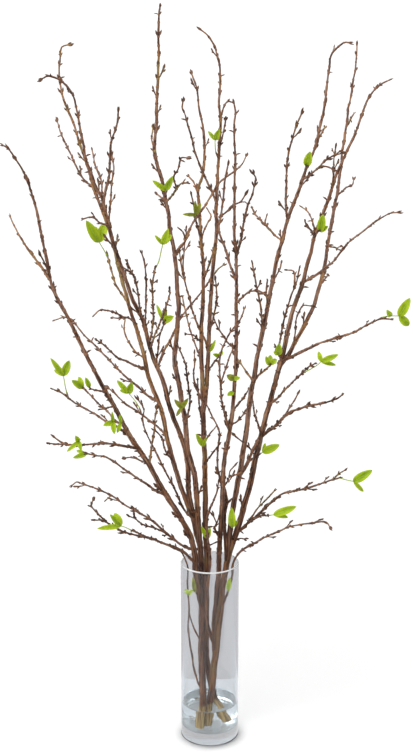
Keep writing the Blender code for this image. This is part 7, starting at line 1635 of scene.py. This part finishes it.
# %% [markdown]
# ## Glass
#
# The vase is drawn from a tube of clear glass: a flat foot with a small rounding, a straight
# wall, a rim rounded like a bead, and a thick flat floor inside. Drawing leaves faint lengthwise
# waves, which bend what is seen through it, and the cut rim is fire-polished but still a
# little frosted, which makes it show as a pale line.

# %% Clear drawn glass: polished, with faint draw lines and a frosted rim
VASE_RADIUS = 50 * MM
VASE_HEIGHT = 324 * MM
VASE_WALL = 3 * MM
VASE_BASE = 20 * MM
FOOT_ROUNDING = 2.5 * MM
RIM_ROUNDING = 1.5 * MM
FLOOR_ROUNDING = 4 * MM
FOOT_STEPS, RIM_STEPS, FLOOR_STEPS = 6, 10, 8
DRAW_MM = (12.0, 12.0, 160.0)

glass, tree, shader = new_material("clear_drawn_glass")
place = add(tree, "ShaderNodeTexCoord").outputs["Object"]
draw_lines = pattern(tree, place, DRAW_MM, 2.0)
wipe = add(tree, "ShaderNodeMapRange", {"Value": draw_lines, "To Min": 0.0, "To Max": 0.02})
height = add(tree, "ShaderNodeSeparateXYZ", {"Vector": place}).outputs["Z"]
up_vase = add(tree, "ShaderNodeMath", (height, VASE_HEIGHT), operation="DIVIDE")
frosted = add(tree, "ShaderNodeValToRGB", {"Fac": up_vase}, [(0.9925, 0.0), (0.9955, 0.55)])
roughness = add(tree, "ShaderNodeMath", (wipe, frosted), operation="ADD")
clear = add(tree, "ShaderNodeMath", (1.0, frosted), operation="SUBTRACT")
bump = add(tree, "ShaderNodeBump",
           {"Height": draw_lines, "Strength": 0.25, "Distance": 0.4 * MM})
feed(shader, {"Base Color": "f4f6f7", "IOR": 1.5, "Roughness": roughness,
              "Transmission Weight": clear, "Normal": bump})

inner = VASE_RADIUS - VASE_WALL
rim_top = VASE_HEIGHT - RIM_ROUNDING
profile = [(0, 0)]
for across, up, rounding, start_deg, end_deg, steps in (
        (VASE_RADIUS, FOOT_ROUNDING, FOOT_ROUNDING, -90, 0, FOOT_STEPS),
        (VASE_RADIUS, rim_top, RIM_ROUNDING, 0, 180, RIM_STEPS),
        (inner, VASE_BASE + FLOOR_ROUNDING, FLOOR_ROUNDING, 0, -90, FLOOR_STEPS)):
    profile += arc(across - rounding, up, rounding, start_deg, end_deg, steps)
profile.append((0, VASE_BASE))
vase = turned("glass_cylinder", profile, glass)
vase.visible_shadow = False
hand_over(vase, "glass", "vase")
print("glass faces", len(vase.data.polygons))

# %% [markdown]
# ## Water
#
# The water is turned the same way. It climbs a couple of millimetres where it meets the glass,
# and that curved skin draws the bright and dark lines at the water's edge. Its side runs a
# hair into the glass, because two clear surfaces with a thin gap between them would show a
# false silvery film. The stems simply pass into it.

# %% Still tap water: colourless, with a faint ripple that breaks up its level skin
RIPPLE_MM = (10.0, 10.0, 10.0)
INTO_GLASS = 0.15 * MM
MENISCUS_RISE = 1.8 * MM
MENISCUS_REACH = 3.5 * MM
MENISCUS_CURVE = 2.2
MENISCUS_STEPS = 8

water, tree, shader = new_material("still_tap_water")
place = add(tree, "ShaderNodeTexCoord").outputs["Object"]
ripple = pattern(tree, place, RIPPLE_MM, 2.0)
bump = add(tree, "ShaderNodeBump", {"Height": ripple, "Strength": 0.8, "Distance": 1.0 * MM})
feed(shader, {"Base Color": "f3f8fa", "Transmission Weight": 1.0, "IOR": 1.33,
              "Roughness": 0.0, "Normal": bump})

side = inner + INTO_GLASS
low = VASE_BASE - INTO_GLASS
profile = [(0, low)]
profile += arc(side - FLOOR_ROUNDING, low + FLOOR_ROUNDING, FLOOR_ROUNDING, -90, 0, FLOOR_STEPS)
profile.append((side, WATER_LEVEL + MENISCUS_RISE))
for step in range(1, MENISCUS_STEPS + 1):
    share = step / MENISCUS_STEPS
    profile.append((inner - MENISCUS_REACH * share ** 2,
                    WATER_LEVEL + MENISCUS_RISE * (1 - share) ** MENISCUS_CURVE))
profile.append((0, WATER_LEVEL))
pool = turned("water_pool", profile, water)
pool.visible_shadow = False
hand_over(pool, "water", "water")
print("water faces", len(pool.data.polygons))

# %% [markdown]
# ## Last update
#
# The view layer is updated once more, so that every new piece is in place. The dressed
# model must keep the imported model's size.

# %% Update the view layer
bpy.context.view_layer.update()
